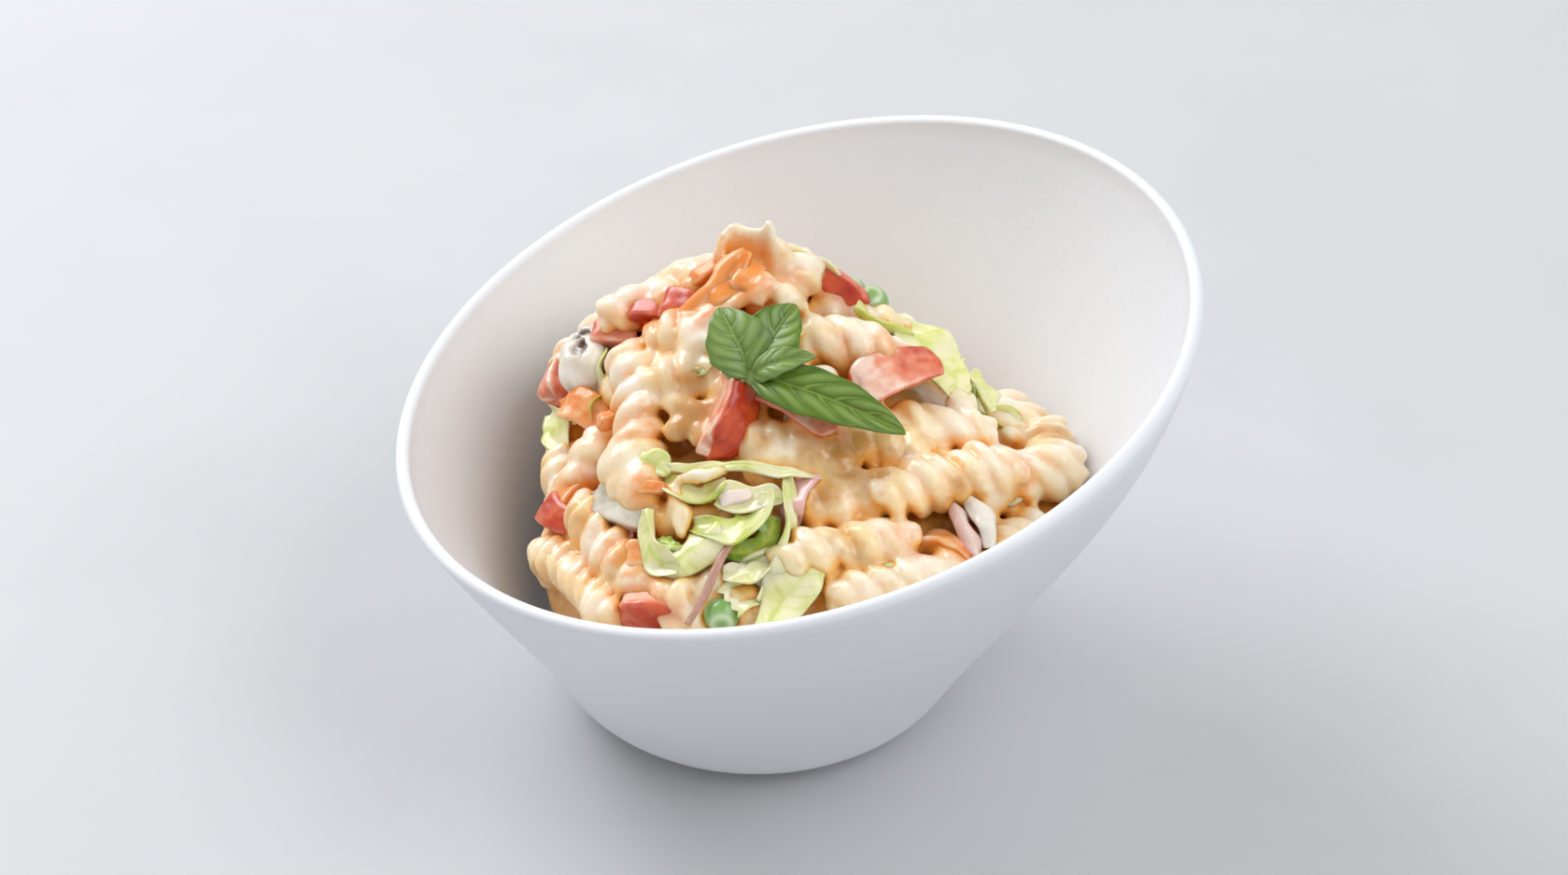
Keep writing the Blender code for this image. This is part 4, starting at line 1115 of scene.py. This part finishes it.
def leaf_shape(length, width, phase, swing, turn, cup, sweep, look, rows=46, columns=15):
    """One shred of lettuce, thin and frilled at its edges."""
    u = np.linspace(-0.5, 0.5, rows)[:, None]
    v = np.linspace(-0.5, 0.5, columns)[None, :]
    side = np.abs(2 * v)
    taper = (1 - 1.3 * u * u) * (1 + 0.10 * np.sin(13 * u + look))
    frill = 0.6 * side ** 2.2 * np.sin(13 * u + 3 * np.sign(v) + look)
    wave = swing * np.sin(9 * u + phase + 2 * v) + cup * v * v + frill
    x = u * length + 0.5 * np.sin(20 * v + look)
    thick = 0.5 * (1.15 - 0.75 * side ** 2)
    sheets = [grid_points(x, v * width * taper, wave + way * thick) for way in (1, -1)]
    x, y, z = np.concatenate(sheets).T
    spin = math.radians(turn) * x / length
    swept = sweep * (1 - (2 * x / length) ** 2)
    points = np.stack((
        x, y * np.cos(spin) - z * np.sin(spin) + swept, y * np.sin(spin) + z * np.cos(spin)), 1)
    return points, sheet_faces(rows, columns), both_sheets(side, rows, columns)


def ribbon_shape(width, thick, cup, rolls, places, look, rows=56, columns=15):
    """A band laid along places on the mound, each given as x, y and lift."""
    line = smooth_line(places, rows)
    x, y = line[:, 0], line[:, 1]
    line[:, 2] += mound(x, y)
    gx, gy = slope(x, y)
    along = np.gradient(line, axis=0)
    along /= np.linalg.norm(along, axis=1)[:, None]
    side = np.cross(along, np.stack((-gx, -gy, np.ones(rows)), 1))
    side /= np.linalg.norm(side, axis=1)[:, None]
    up = np.cross(side, along)
    roll = np.radians(np.linspace(*rolls, rows))[:, None]
    side, up = side * np.cos(roll) + up * np.sin(roll), up * np.cos(roll) - side * np.sin(roll)
    u = np.linspace(0, 1, rows)[:, None]
    v = np.linspace(-1, 1, columns)[None, :]
    wide = width * np.sin(math.pi * (0.05 + 0.90 * u)) ** 0.5 * (1 + 0.13 * np.sin(8 * u + look))
    reach_out = v * wide * (1 + 0.12 * np.sin(11 * u + 2 * np.sign(v) + look))
    frill = 0.35 * np.abs(v) * np.sin(12 * u + 2 * v + look)
    lift = cup * v * v + frill + 0.2 * np.sin(7 * u + look)
    half = thick / 2 * (1.1 - 0.65 * np.abs(v) ** 2.5) * (0.7 + 0.3 * np.sin(math.pi * u))
    flat = line[:, None] + reach_out[..., None] * side[:, None]
    sheets = [(flat + (lift + way * half)[..., None] * up[:, None]).reshape(-1, 3)
              for way in (1, -1)]
    rank = u * 7 - 0.9 * np.abs(v) + 0.3 * np.sign(v)
    vein = np.exp(-((rank - np.round(rank)) / 0.11) ** 2) * (1 - 0.6 * np.abs(v))
    vein = np.maximum(vein, np.exp(-(v / 0.16) ** 2))
    marks = (both_sheets(value, rows, columns) for value in (np.abs(v), vein))
    return np.concatenate(sheets), sheet_faces(rows, columns), *marks


def crown_shape():
    """The open end of the twist at the peak: a dish whose rim has two points."""
    x, y, foot, rim = CROWN
    rows, columns = 30, 61
    t = np.linspace(0, 1, rows)[:, None]
    turn = np.linspace(-CROWN_ROUND, CROWN_ROUND, columns)[None, :]
    tops = rim - 8.5 * np.clip((np.abs(turn) - 70) / 58, 0, 1) ** 1.1
    for place, high, wide in CROWN_POINTS:
        tops = tops + high * np.exp(-((turn - place) / wide) ** 2)
    swell = 0.86 + 0.22 * np.sin(2.5 * t) ** 2 + 0.03 * np.sin(turn / 15)
    sheets = []
    for side in (1.0, -1.0):
        thick = side * (1.1 - 0.4 * t ** 4)
        sheets.append(grid_points(
            x + (CROWN_WIDE * swell + thick) * np.sin(np.radians(turn)),
            y + (CROWN_DEEP * swell + thick) * np.cos(np.radians(turn)),
            foot + t * (tops - foot)))
    return np.concatenate(sheets), sheet_faces(rows, columns)


def ball(radius, rows=18, columns=26):
    """A ball as a grid, and how far down each point is, from 0 to 1."""
    tilt = np.linspace(0.02, math.pi - 0.02, rows)[:, None]
    turn = circle(columns)
    points = grid_points(np.sin(tilt) * np.cos(turn), np.sin(tilt) * np.sin(turn), np.cos(tilt))
    down = np.broadcast_to(tilt, (rows, columns)).reshape(-1) / math.pi
    return points * radius, tube_faces(rows, columns), down


# Heap

class Heap:
    """Gathers the fine pieces of the salad, kind by kind."""

    def __init__(self):
        self.tomato = Batch("coat")
        self.carrot = Batch("coat")
        self.pale = Batch("coat", "hole", "pink")
        self.leaves = Batch("green", "coat", "rib")
        self.peas = Batch("coat")
        self.body = Batch("groove")
        self.look = random.Random(LOOK_SEED)

    def shifts(self):
        """Three random shifts of the noise."""
        return [self.look.uniform(0, 90) for _ in range(3)]

    def twist(self, draw, matrix, row=None):
        """Add a pasta twist to the body that the dressing covers."""
        length, radius, bend, start, ridges = draw
        points, faces, groove = twist_shape(
            length, BANDS.get(row, BAND), LOOK_BLADES.get(row, BLADE_COUNT), radius, bend, start,
            LOOK_RIDGES.get(row, ridges), FLARES.get(row, FLARE), self.look.uniform(0, 6))
        points = moved(points, matrix)
        points += 0.45 * wander(points, 6.0, (0, 7, 14))
        self.body.add(clear_of_bowl(points, BODY_CLEARANCE), faces, groove=groove)

    def under(self, points, faces, matrix):
        """Add a smaller copy of a piece to the body, for the dressing to climb."""
        points = moved(points * BODY_SHARE - BODY_DROP, matrix)
        self.body.add(clear_of_bowl(points, BODY_CLEARANCE), faces, groove=BODY_CREASE_SHADE)

    def chunk(self, batch, matrix, size, look, lift=0.0, **values):
        """Add a cut vegetable piece."""
        corners, roll, bare, side, paler, near, bow = look
        points, faces, pale = wedge_shape(
            *size, corners, roll, side, paler, near, bow, self.look.uniform(0, 6))
        points += 0.30 * wander(points, 3.5, self.shifts())
        points[:, 2] += lift
        rest = clear_of_bowl(moved(points, matrix))
        coat = 1.0 - bare + pale + 0.20 * lumps(rest, 4.5, 3.0)
        batch.add(rest, faces, coat=coat, **values)
        self.under(points, faces, matrix)

    def olive(self, matrix, size):
        """Add the pale olive, with two dents on its top that are painted dark as shade."""
        points, faces, _down = ball(1.0, 60, 80)
        points = points * np.array(size) * 0.56
        points += 1.1 * wander(points, 6.5, self.shifts())
        px, py, pz = points.T
        # Two dents, which are also painted dark as shade
        hole = np.zeros(len(points))
        for x, y, long, wide in OLIVE_HOLES:
            hole += np.exp(-((px - x) / long) ** 2 - ((py - y) / wide) ** 2) * (pz > 1)
        hole = np.clip(hole * (1 + 0.8 * lumps(points, 1.8)), 0, 1.2)
        points[:, 2] -= 2.4 * hole
        rest = clear_of_bowl(moved(points, matrix))
        self.pale.add(rest, faces, coat=0.85 + 0.45 * lumps(rest, 4.0, 3.0), hole=hole, pink=0.0)
        self.under(points, faces, matrix)

    def leaf(self, draw, matrix, look):
        """Add a shred of lettuce."""
        green, turn, cup, sweep = look
        points, faces, side = leaf_shape(*draw, turn, cup, sweep, self.look.uniform(0, 6))
        points = clear_of_bowl(moved(points, matrix))
        tone = green * (0.45 + 0.75 * side ** 1.5)
        coat = 0.35 - 0.5 * green + 0.6 * lumps(points, 6.0, 11.0)
        self.leaves.add(points, faces, green=tone, coat=coat, rib=1 - side)

    def ribbon(self, green, *shape):
        """Add a ribbon of leaf where the photo shows it."""
        points, faces, side, vein = ribbon_shape(*shape, self.look.uniform(0, 6))
        points += 1.3 * wander(points, 8.0, (0, 5, 10))
        points = clear_of_bowl(points + 0.22 * wander(points, 3.5, (0, 5, 10)))
        tone = green * (0.75 + 0.40 * side ** 2) + (0.22 if green < 0.3 else -0.25) * vein
        coat = 0.62 - 0.40 * green + 0.9 * lumps(points, 6.0, 11.0)
        self.leaves.add(points, faces, green=tone, coat=coat - 0.3 * vein, rib=0.0)

    def petal(self, pink, *shape):
        """Add a petal of onion."""
        points, faces, side, _vein = ribbon_shape(*shape, self.look.uniform(0, 6))
        points = clear_of_bowl(points)
        coat = 1.05 - 0.25 * side ** 2 + 0.3 * lumps(points, 4.0, 11.0)
        self.pale.add(points, faces, coat=coat, hole=0.0, pink=pink * (0.5 + 0.5 * side))

    def band(self, *shape):
        """Add a band of pasta and dressing that climbs over other pieces."""
        points, faces, _side, _vein = ribbon_shape(*shape, self.look.uniform(0, 6))
        self.body.add(clear_of_bowl(points, BODY_CLEARANCE), faces, groove=0.0)

    def pea(self, matrix):
        """Add a pea, its painted highlight ring turned to one side."""
        points, faces, down = ball(PEA_RADIUS)
        turn = np.array(Matrix.Rotation(math.radians(PEA_TILT), 3, "X"))
        # A painted highlight ring near the top, and a paler patch low on the ball before it is
        # turned
        ring = np.exp(-((down - 0.17) / 0.06) ** 2) * 0.9 + 0.4 * (down > 0.62)
        points[:, 2] -= 0.25 * np.exp(-(down / 0.06) ** 2)
        points = clear_of_bowl(moved(points @ turn.T, matrix))
        self.peas.add(points, faces, coat=np.clip(ring, 0, 1))


def scatter(heap):
    """Lay every piece where its plain one lies."""
    rng = random.Random(FILL_SEED)
    for i, (*place, length, radius, bend, ridges) in enumerate(TWISTS):
        draw, plain = twist_draw(length, radius, bend, ridges, rng)
        matrix = settled(plain, *place)
        if matrix and i:
            heap.twist(draw, matrix, i)
    kinds = [(heap.tomato, look, {}) for look in TOMATO_LOOKS]
    kinds += [(heap.carrot, look, {}) for look in CARROT_LOOKS]
    kinds += [(heap.pale, look, {"hole": 0.0, "pink": pink})
              for look, pink in zip(PALE_LOOKS, PALE_PINKS)]
    for i, (*place, length, width, height) in enumerate(TOMATO + CARROT + PALE):
        size = (length, width, height)
        matrix = settled(chunk_points(*size, rng), *place)
        batch, look, values = kinds[i]
        if matrix and look and look[0]:
            heap.chunk(batch, matrix, size, look, LIFTS.get(i, 0.0), **values)
        elif matrix and look:
            heap.olive(matrix, size)
    for look, (*place, length, width) in zip(LEAF_LOOKS, LEAVES):
        draw, plain = leaf_draw(length, width, rng)
        matrix = settled(plain, *place)
        if matrix and look:
            heap.leaf(draw, matrix, look)
    for x, y, lift, raised in PEAS:
        heap.pea(placed(x, y, 0, 0, lift + raised))
    scatter_filling(heap, rng)
    for add, rows in ((heap.ribbon, RIBBONS), (heap.petal, PETALS)):
        for row in rows:
            add(*row)
    add_crown(heap.body)
    for row in BANDS_OVER:
        heap.band(*row)
    scatter_shreds(heap)
    scatter_low(heap)


def scatter_filling(heap, rng):
    """The unlisted pieces, at the back."""
    for i, (x, y) in enumerate(fill_spots(rng)):
        heading = rng.uniform(0, 180)
        if i % 6 == 1:
            matrix = settled(chunk_points(*FILL_CHUNK, rng), x, y, heading, FOLLOW, FILL_LIFT)
            if matrix:
                batch = heap.tomato if i % 4 == 3 else heap.carrot
                heap.chunk(batch, matrix, FILL_CHUNK, FILL_CHUNK_LOOK)
        elif i % 6 == 3:
            draw, plain = leaf_draw(*FILL_LEAF, rng)
            matrix = settled(plain, x, y, heading, FOLLOW, FILL_LIFT + FILL_LEAF_RISE)
            if matrix:
                heap.leaf(draw, matrix, (FILL_GREENS[i // 6 % len(FILL_GREENS)], 20, 5, 0))
        else:
            draw, plain = twist_draw(*FILL_TWIST, rng)
            matrix = settled(plain, x, y, heading, FOLLOW, FILL_LIFT)
            if matrix:
                heap.twist(draw, matrix)


def add_crown(body):
    """The open twist end at the peak, what fills its foot, and the lobes beside it."""
    points, faces = crown_shape()
    x, y, foot, rim = CROWN
    # Inside the dish, painted crease shade that grows down from its rim
    deep = np.clip((rim - 0.5 - points[:, 2]) / 6.0, 0, 1.5)
    outside = np.arange(len(points)) < len(points) // 2
    body.add(points, faces, groove=np.where(outside, 0.0, deep))
    rows = [(x - 0.3, y + 0.2, foot + 1.5, CROWN_WIDE - 0.3, CROWN_DEEP, 8.5, 1.1)]
    rows += [(px, py, level, wide, wide, high, 0.0) for px, py, level, wide, high in LOBES]
    for px, py, level, wide, deep, high, groove in rows:
        points, faces, _down = ball(1.0)
        body.add(points * (wide, deep, high) + (px, py, level), faces, groove=groove)


def scatter_shreds(heap):
    """Small dressed shreds of cabbage, tomato and carrot, strewn over the salad's front."""
    rng = random.Random(SHRED_SEED)
    for i in range(SHREDS):
        x, y = strewn(rng, *SHRED_SPREAD)
        shape = [rng.uniform(*ends) for ends in SHRED_RANGES]
        points, faces, side = leaf_shape(*shape, rows=18, columns=7)
        matrix = placed(x, y, rng.uniform(0, 180), FOLLOW, rng.uniform(*SHRED_LIFTS))
        points = clear_of_bowl(moved(points, matrix), SHRED_CLEARANCE)
        coat = 0.75 + 0.5 * lumps(points, 6.0, 11.0)
        if i % 5 in (1, 3):
            batch = heap.tomato if i % 5 == 1 else heap.carrot
            batch.add(points, faces, coat=coat)
        else:
            tone = rng.uniform(0, 0.6) * (0.4 + 0.7 * side)
            heap.leaves.add(points, faces, green=tone, coat=coat, rib=0.0)


def scatter_low(heap):
    """Short twists low in the gaps at the back and the left, so that less bare core shows."""
    rng = random.Random(LOW_SEED)
    for _ in range(LOW_TWISTS):
        x, y = strewn(rng, *LOW_SPREAD)
        matrix = placed(x, y, rng.uniform(0, 180), FOLLOW, rng.uniform(*LOW_LIFTS))
        draw = (rng.uniform(*LOW_LENGTHS), LOW_RADIUS, 1, rng.uniform(0, 360), LOW_RIDGES)
        heap.twist(draw, matrix)
    for *place, length in LEFT_TWISTS:
        draw = (length, LEFT_RADIUS, 1, rng.uniform(0, 360), LOW_RIDGES)
        heap.twist(draw, placed(*place))


def core_body():
    """A closed blanket under the pieces, with pits where dark gaps show."""
    rings, sides = 40, 96
    theta = circle(sides)
    edge = inner_radius(around(WALL_LEVELS, theta) - CORE_DROP) - 1.0
    shares = np.linspace(1, 0.02, rings)[:, None]
    x = PEAK_X + shares * (edge * np.cos(theta) - PEAK_X)
    y = PEAK_Y + shares * (edge * np.sin(theta) - PEAK_Y)
    top = mound(x, y) - CORE_DROP
    for gx, gy, radius, depth in GAPS:
        top -= depth * np.exp(-((x - gx) ** 2 + (y - gy) ** 2) / radius ** 2)
    upper = grid_points(x, y, top)
    lower = grid_points(x * 0.97, y * 0.97, mound(x, y) - CORE_BOTTOM)
    count = len(upper)
    faces = grid_faces(rings, sides, True)
    faces += [tuple(i + count for i in face)[::-1] for face in faces]
    faces += [(j, (j + 1) % sides, (j + 1) % sides + count, j + count) for j in range(sides)]
    inner = (rings - 1) * sides
    faces.append(tuple(range(inner, inner + sides)))
    faces.append(tuple(range(inner + count, inner + count + sides))[::-1])
    return clear_of_bowl(np.concatenate((upper, lower)), CORE_CLEARANCE), faces


def add_pools(body):
    """Thick drops of dressing, some where the photo shows them and some strewn."""
    rng = random.Random(POOL_SEED)
    rows = list(POOLS)
    for _ in range(LOOSE_POOLS):
        spot = strewn(rng, 0, 2 * math.pi, POOL_EDGE)
        rows.append((*spot, rng.uniform(*POOL_LIFTS), rng.uniform(*POOL_RADII)))
    for x, y, lift, radius in rows:
        points, faces, _down = ball(radius, 10, 16)
        points = moved(points * POOL_SHAPE, placed(x, y, rng.uniform(0, 180), FOLLOW, lift))
        body.add(clear_of_bowl(points, CORE_CLEARANCE), faces, groove=POOL_CREASE_SHADE)


def tints(points, heap):
    """How near each point lies to red, orange and green pieces, from 0 to 1."""
    kinds = (("red", heap.tomato, 2.6), ("orange", heap.carrot, 2.6), ("green", heap.leaves, 2.0))
    return {name: np.exp(-nearest(batch.all_points()[::5], points)[1] / size)
            for name, batch, size in kinds}


def near_places(points, places):
    """How near each point lies to places on the plan, given as x, y, radius and share."""
    found = np.zeros(len(points))
    for x, y, radius, share in places:
        away = (points[:, 0] - x) ** 2 + (points[:, 1] - y) ** 2
        found = np.maximum(found, share * np.exp(-away / radius ** 2))
    return found


def gap_shade_marks(points):
    """How much painted shade darkens the dressing to brown at each point: at listed places, and
    more the deeper it lies.
    """
    below = np.clip((mound(points[:, 0], points[:, 1]) - points[:, 2] - 3.0) / 6.0, 0, 1)
    return np.clip(near_places(points, GAP_SHADE_PLACES) + 0.8 * below, 0, 1.2)


def sphere_directions(count):
    """Directions spread evenly over a sphere."""
    k = np.arange(count) + 0.5
    z = 1 - 2 * k / count
    turn = k * math.pi * (1 + math.sqrt(5))
    ring = np.sqrt(1 - z * z)
    return np.stack((ring * np.cos(turn), ring * np.sin(turn), z), 1)


def shade_marks(tree, points, normals):
    """How closed in each point is by what lies within a few millimetres of it, for painted shade.
    """
    ways = sphere_directions(SHADE_RAYS)
    starts = points + normals * 0.25
    open_ways = normals @ ways.T > 0.15
    vectors = [Vector(way) for way in ways]
    found = np.zeros(len(points))
    for i, (start, row) in enumerate(zip(starts, open_ways)):
        origin, total = Vector(start), 0.0
        for k in np.flatnonzero(row):
            away = tree.ray_cast(origin, vectors[k], SHADE_REACH)[3]
            if away is not None:
                total += 1 - away / SHADE_REACH
        found[i] = total / max(1, row.sum())
    return found


def dressing_shape(heap):
    """The dressed pasta: one smooth skin over all the twists, which sinks between them."""
    points, faces = core_body()
    heap.body.add(points, faces, groove=CORE_CREASE_SHADE)
    add_pools(heap.body)
    samples = heap.body.all_points()
    points, faces, edges = shaped(
        samples, heap.body.faces, "REMESH", mode="VOXEL", voxel_size=VOXEL)
    fine = relaxed(points, edges, 3)
    soft = relaxed(fine, edges, 9)
    thick = np.clip(0.25 + 1.5 * lumps(fine, 11.0, 2.0), 0, 1)[:, None]
    points = fine + (soft - fine) * thick
    normals = point_normals(points, faces)
    skin = SKIN_SWELL + 0.35 * lumps(points, 9.0, 2.0) + 0.15 * lumps(points, 3.0, 5.0)
    points = clear_of_bowl(points + normals * skin[:, None])
    points, faces, edges = shaped(
        points, faces, "DECIMATE", ratio=SKIN_KEPT, use_collapse_triangulate=True)
    # Carry the painted crease shade of the nearest body point onto the skin
    crease_shades = np.concatenate(heap.body.marks["groove"])[::2]
    crease_shades = crease_shades[nearest(samples[::2], points)[0]]
    return points, faces, edges, relaxed(crease_shades[:, None], edges, 3)[:, 0]


def make_strip():
    """The thin strip of onion, slightly bent and flattened."""
    start, end = (np.array((x, y, mound(x, y) + lift)) for x, y, lift in STRIP_ENDS)
    sides, steps = 12, 30
    run = end - start
    along = run / np.linalg.norm(run)
    side = np.cross(along, (0, 0, 1))
    side /= np.linalg.norm(side)
    up = np.cross(side, along)
    phi = circle(sides)[:, None]
    rows = []
    for step in range(steps + 1):
        t = step / steps
        middle = start + run * t + up * 0.5 * math.sin(3 * t) + side * 0.35 * math.sin(7 * t)
        size = STRIP_RADIUS * (0.75 + 0.25 * math.sin(math.pi * min(1, 0.15 + t)))
        rows.append(middle + size * (np.cos(phi) * side + 0.7 * np.sin(phi) * up))
    faces = tube_faces(steps + 1, sides)
    item = piece("onion_strip", np.concatenate(rows), faces, strip_material())
    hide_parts("salad_heap")


def make_heap():
    """All the food but the basil."""
    heap = Heap()
    scatter(heap)
    skin, faces, edges, groove = dressing_shape(heap)
    everything = Batch()
    everything.add(skin, faces)
    for batch in (heap.tomato, heap.carrot, heap.pale, heap.leaves, heap.peas):
        everything.add(batch.all_points(), batch.faces)
    tree = BVHTree.FromPolygons(everything.all_points().tolist(), everything.faces)
    normals = point_normals(skin, faces)
    shade = shade_marks(tree, skin, normals)
    # Painted light on the top few millimetres of the crown's rim
    peak = near_places(skin, (CROWN_TOP_LIGHT,)) * np.clip((skin[:, 2] - CROWN[3] + 4) / 5, 0, 1)
    # Paler dressing in random lumps, plus painted top light: paler the more the skin faces up
    milk_and_top_light = 0.28 + 0.42 * normals[:, 2] + 0.45 * lumps(skin, 7.0, 4.0)
    marks = tints(skin, heap)
    marks["groove"] = groove
    # Add the crown's painted light, and take paleness away where painted gap shade lies
    marks["milk_and_top_light"] = milk_and_top_light + (peak - 0.7 * near_places(skin, GAP_SHADE_PLACES))
    marks["shade"] = relaxed(shade[:, None], edges, 3)[:, 0]
    marks["deep_gap_shade"] = gap_shade_marks(skin)
    marks["orange"] = np.maximum(marks["orange"], near_places(skin, GLOW_PLACES))
    marks["red"] = np.maximum(marks["red"], near_places(skin, BLUSH_PLACES))
    kinds = (
        ("tomato_pieces", heap.tomato, flesh_material("tomato", *TOMATO_COLOURS)),
        ("carrot_pieces", heap.carrot, flesh_material("carrot", *CARROT_COLOURS)),
        ("mushroom_and_onion", heap.pale, flesh_material("mushroom", *PALE_COLOURS)),
        ("lettuce_shreds", heap.leaves, leaf_material()),
        ("peas", heap.peas, pea_material()),
    )
    items = [piece("dressed_pasta", skin, faces, cream_material(), marks)]
    items += [batch_piece(name, batch, material) for name, batch, material in kinds]
    for item in items:
        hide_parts("salad_heap")
    make_strip()


# Basil

def basil_leaf(length, width, fold, droop, look):
    """One basil leaf along X from its stalk, quilted between its veins."""
    rows, columns, half = 70, 41, LEAF_THICKNESS / 2 * 0.55
    u = np.linspace(0, 1, rows)[:, None]
    v = np.linspace(-1, 1, columns)[None, :]
    side = np.abs(v)
    spread = np.sin(math.pi * (0.04 + 0.958 * u ** 0.80)) ** 0.72
    y = v * spread * width / 2 * (1 + 0.03 * np.sin(24 * u + look))
    rank = (u - 0.30 * side ** 1.3) * 5 + 0.25 * np.sign(v)
    gap = np.abs(rank - np.round(rank))
    vein = np.exp(-(gap / 0.10) ** 2) * (1 - side) ** 0.4 * (u > 0.03)
    rib = np.exp(-(y / 0.42) ** 2)
    bulge = np.clip(np.sin(math.pi * gap), 0, 1) * np.sin(math.pi * np.clip(side, 0, 1)) ** 0.7
    rise = math.tan(math.radians(fold)) * np.abs(y) - 1.3 * (y / width * 2) ** 2
    z = rise + 0.35 * np.sin(7 * u + 2 * v) - droop * (2 * u - 0.8) ** 2 + droop * 0.64
    z = z + 0.32 * bulge * min(1.0, width / 12) - 0.35 * rib
    points = np.concatenate([grid_points(u * length, y, z + half * way) for way in (1, -1)])
    # The veins, and the bulges that also carry painted highlights
    marks = [both_sheets(value, rows, columns) for value in (np.maximum(vein, rib), bulge)]
    return points, sheet_faces(rows, columns), marks


def make_basil():
    """The basil sprig, where the solid one rests."""
    batch = Batch("vein", "bulge", "pale")
    turn = Matrix.Rotation(math.radians(SPRIG_TURN), 4, "Z")
    lean = Matrix.Rotation(math.radians(SPRIG_LEAN), 4, "X")
    start = Matrix.Translation((SPRIG_X, SPRIG_Y, mound(SPRIG_X, SPRIG_Y))) @ turn @ lean
    for i, (heading, length, width, rise, fold, droop, pale) in enumerate(BASIL):
        spin = Matrix.Rotation(math.radians(heading), 4, "Z")
        matrix = start @ (spin @ Matrix.Rotation(math.radians(-rise), 4, "Y"))
        points, faces, (vein, bulge) = basil_leaf(length, width, fold, droop, 1.7 * i)
        batch.add(moved(points, matrix), faces, vein=vein, bulge=bulge, pale=pale)
    points, faces, _down = ball(1.0)
    stem = moved(points * STEM_SIZE, start @ Matrix.Translation(STEM_PLACE))
    batch.add(stem, faces, vein=0.6, bulge=0.0, pale=0.2)
    heights = batch.all_points()[:, 2]
    low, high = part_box("basil_sprig")
    shift = (low.z + high.z) / (2 * MM) - (heights.min() + heights.max()) / 2
    batch.points = [rows + (0, 0, shift) for rows in batch.points]
    item = batch_piece("basil_leaves", batch, basil_material())
    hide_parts("basil_sprig")


# Stage

def make_floor():
    """A plain pale floor, far wider than the view."""
    bpy.ops.mesh.primitive_plane_add(size=FLOOR_SIDE, location=(0, 0, 0))
    floor = bpy.context.object
    floor.name = "floor"
    floor.data.materials.append(floor_material())


def make_light(name, place, size, power, colour):
    """A square soft light that looks at the bowl."""
    light = bpy.data.lights.new(name, "AREA")
    light.size = size
    light.energy = power
    light.color = colour
    item = bpy.data.objects.new(name, light)
    item.location = place
    way = Vector(LIGHT_TARGET) - Vector(place)
    item.rotation_euler = way.to_track_quat("-Z", "Y").to_euler()
    bpy.context.scene.collection.objects.link(item)


def make_stage():
    """Floor, soft daylight and the camera of the photo."""
    scene = bpy.context.scene
    make_floor()
    world = bpy.data.worlds.new("daylight")
    world.use_nodes = True
    sky = world.node_tree.nodes["Background"]
    sky.inputs["Color"].default_value = SKY_COLOUR
    sky.inputs["Strength"].default_value = SKY_STRENGTH
    scene.world = world
    for row in LIGHTS:
        make_light(*row)
    scene.view_settings.view_transform = "Standard"
    camera = bpy.data.cameras.new("camera")
    camera.lens = CAMERA_LENS
    camera.sensor_width = CAMERA_SENSOR
    item = bpy.data.objects.new("camera", camera)
    item.location = CAMERA_PLACE
    item.rotation_euler = (math.radians(CAMERA_TILT), 0, 0)
    scene.collection.objects.link(item)
    scene.camera = item


make_bowl()
make_heap()
make_basil()
make_stage()
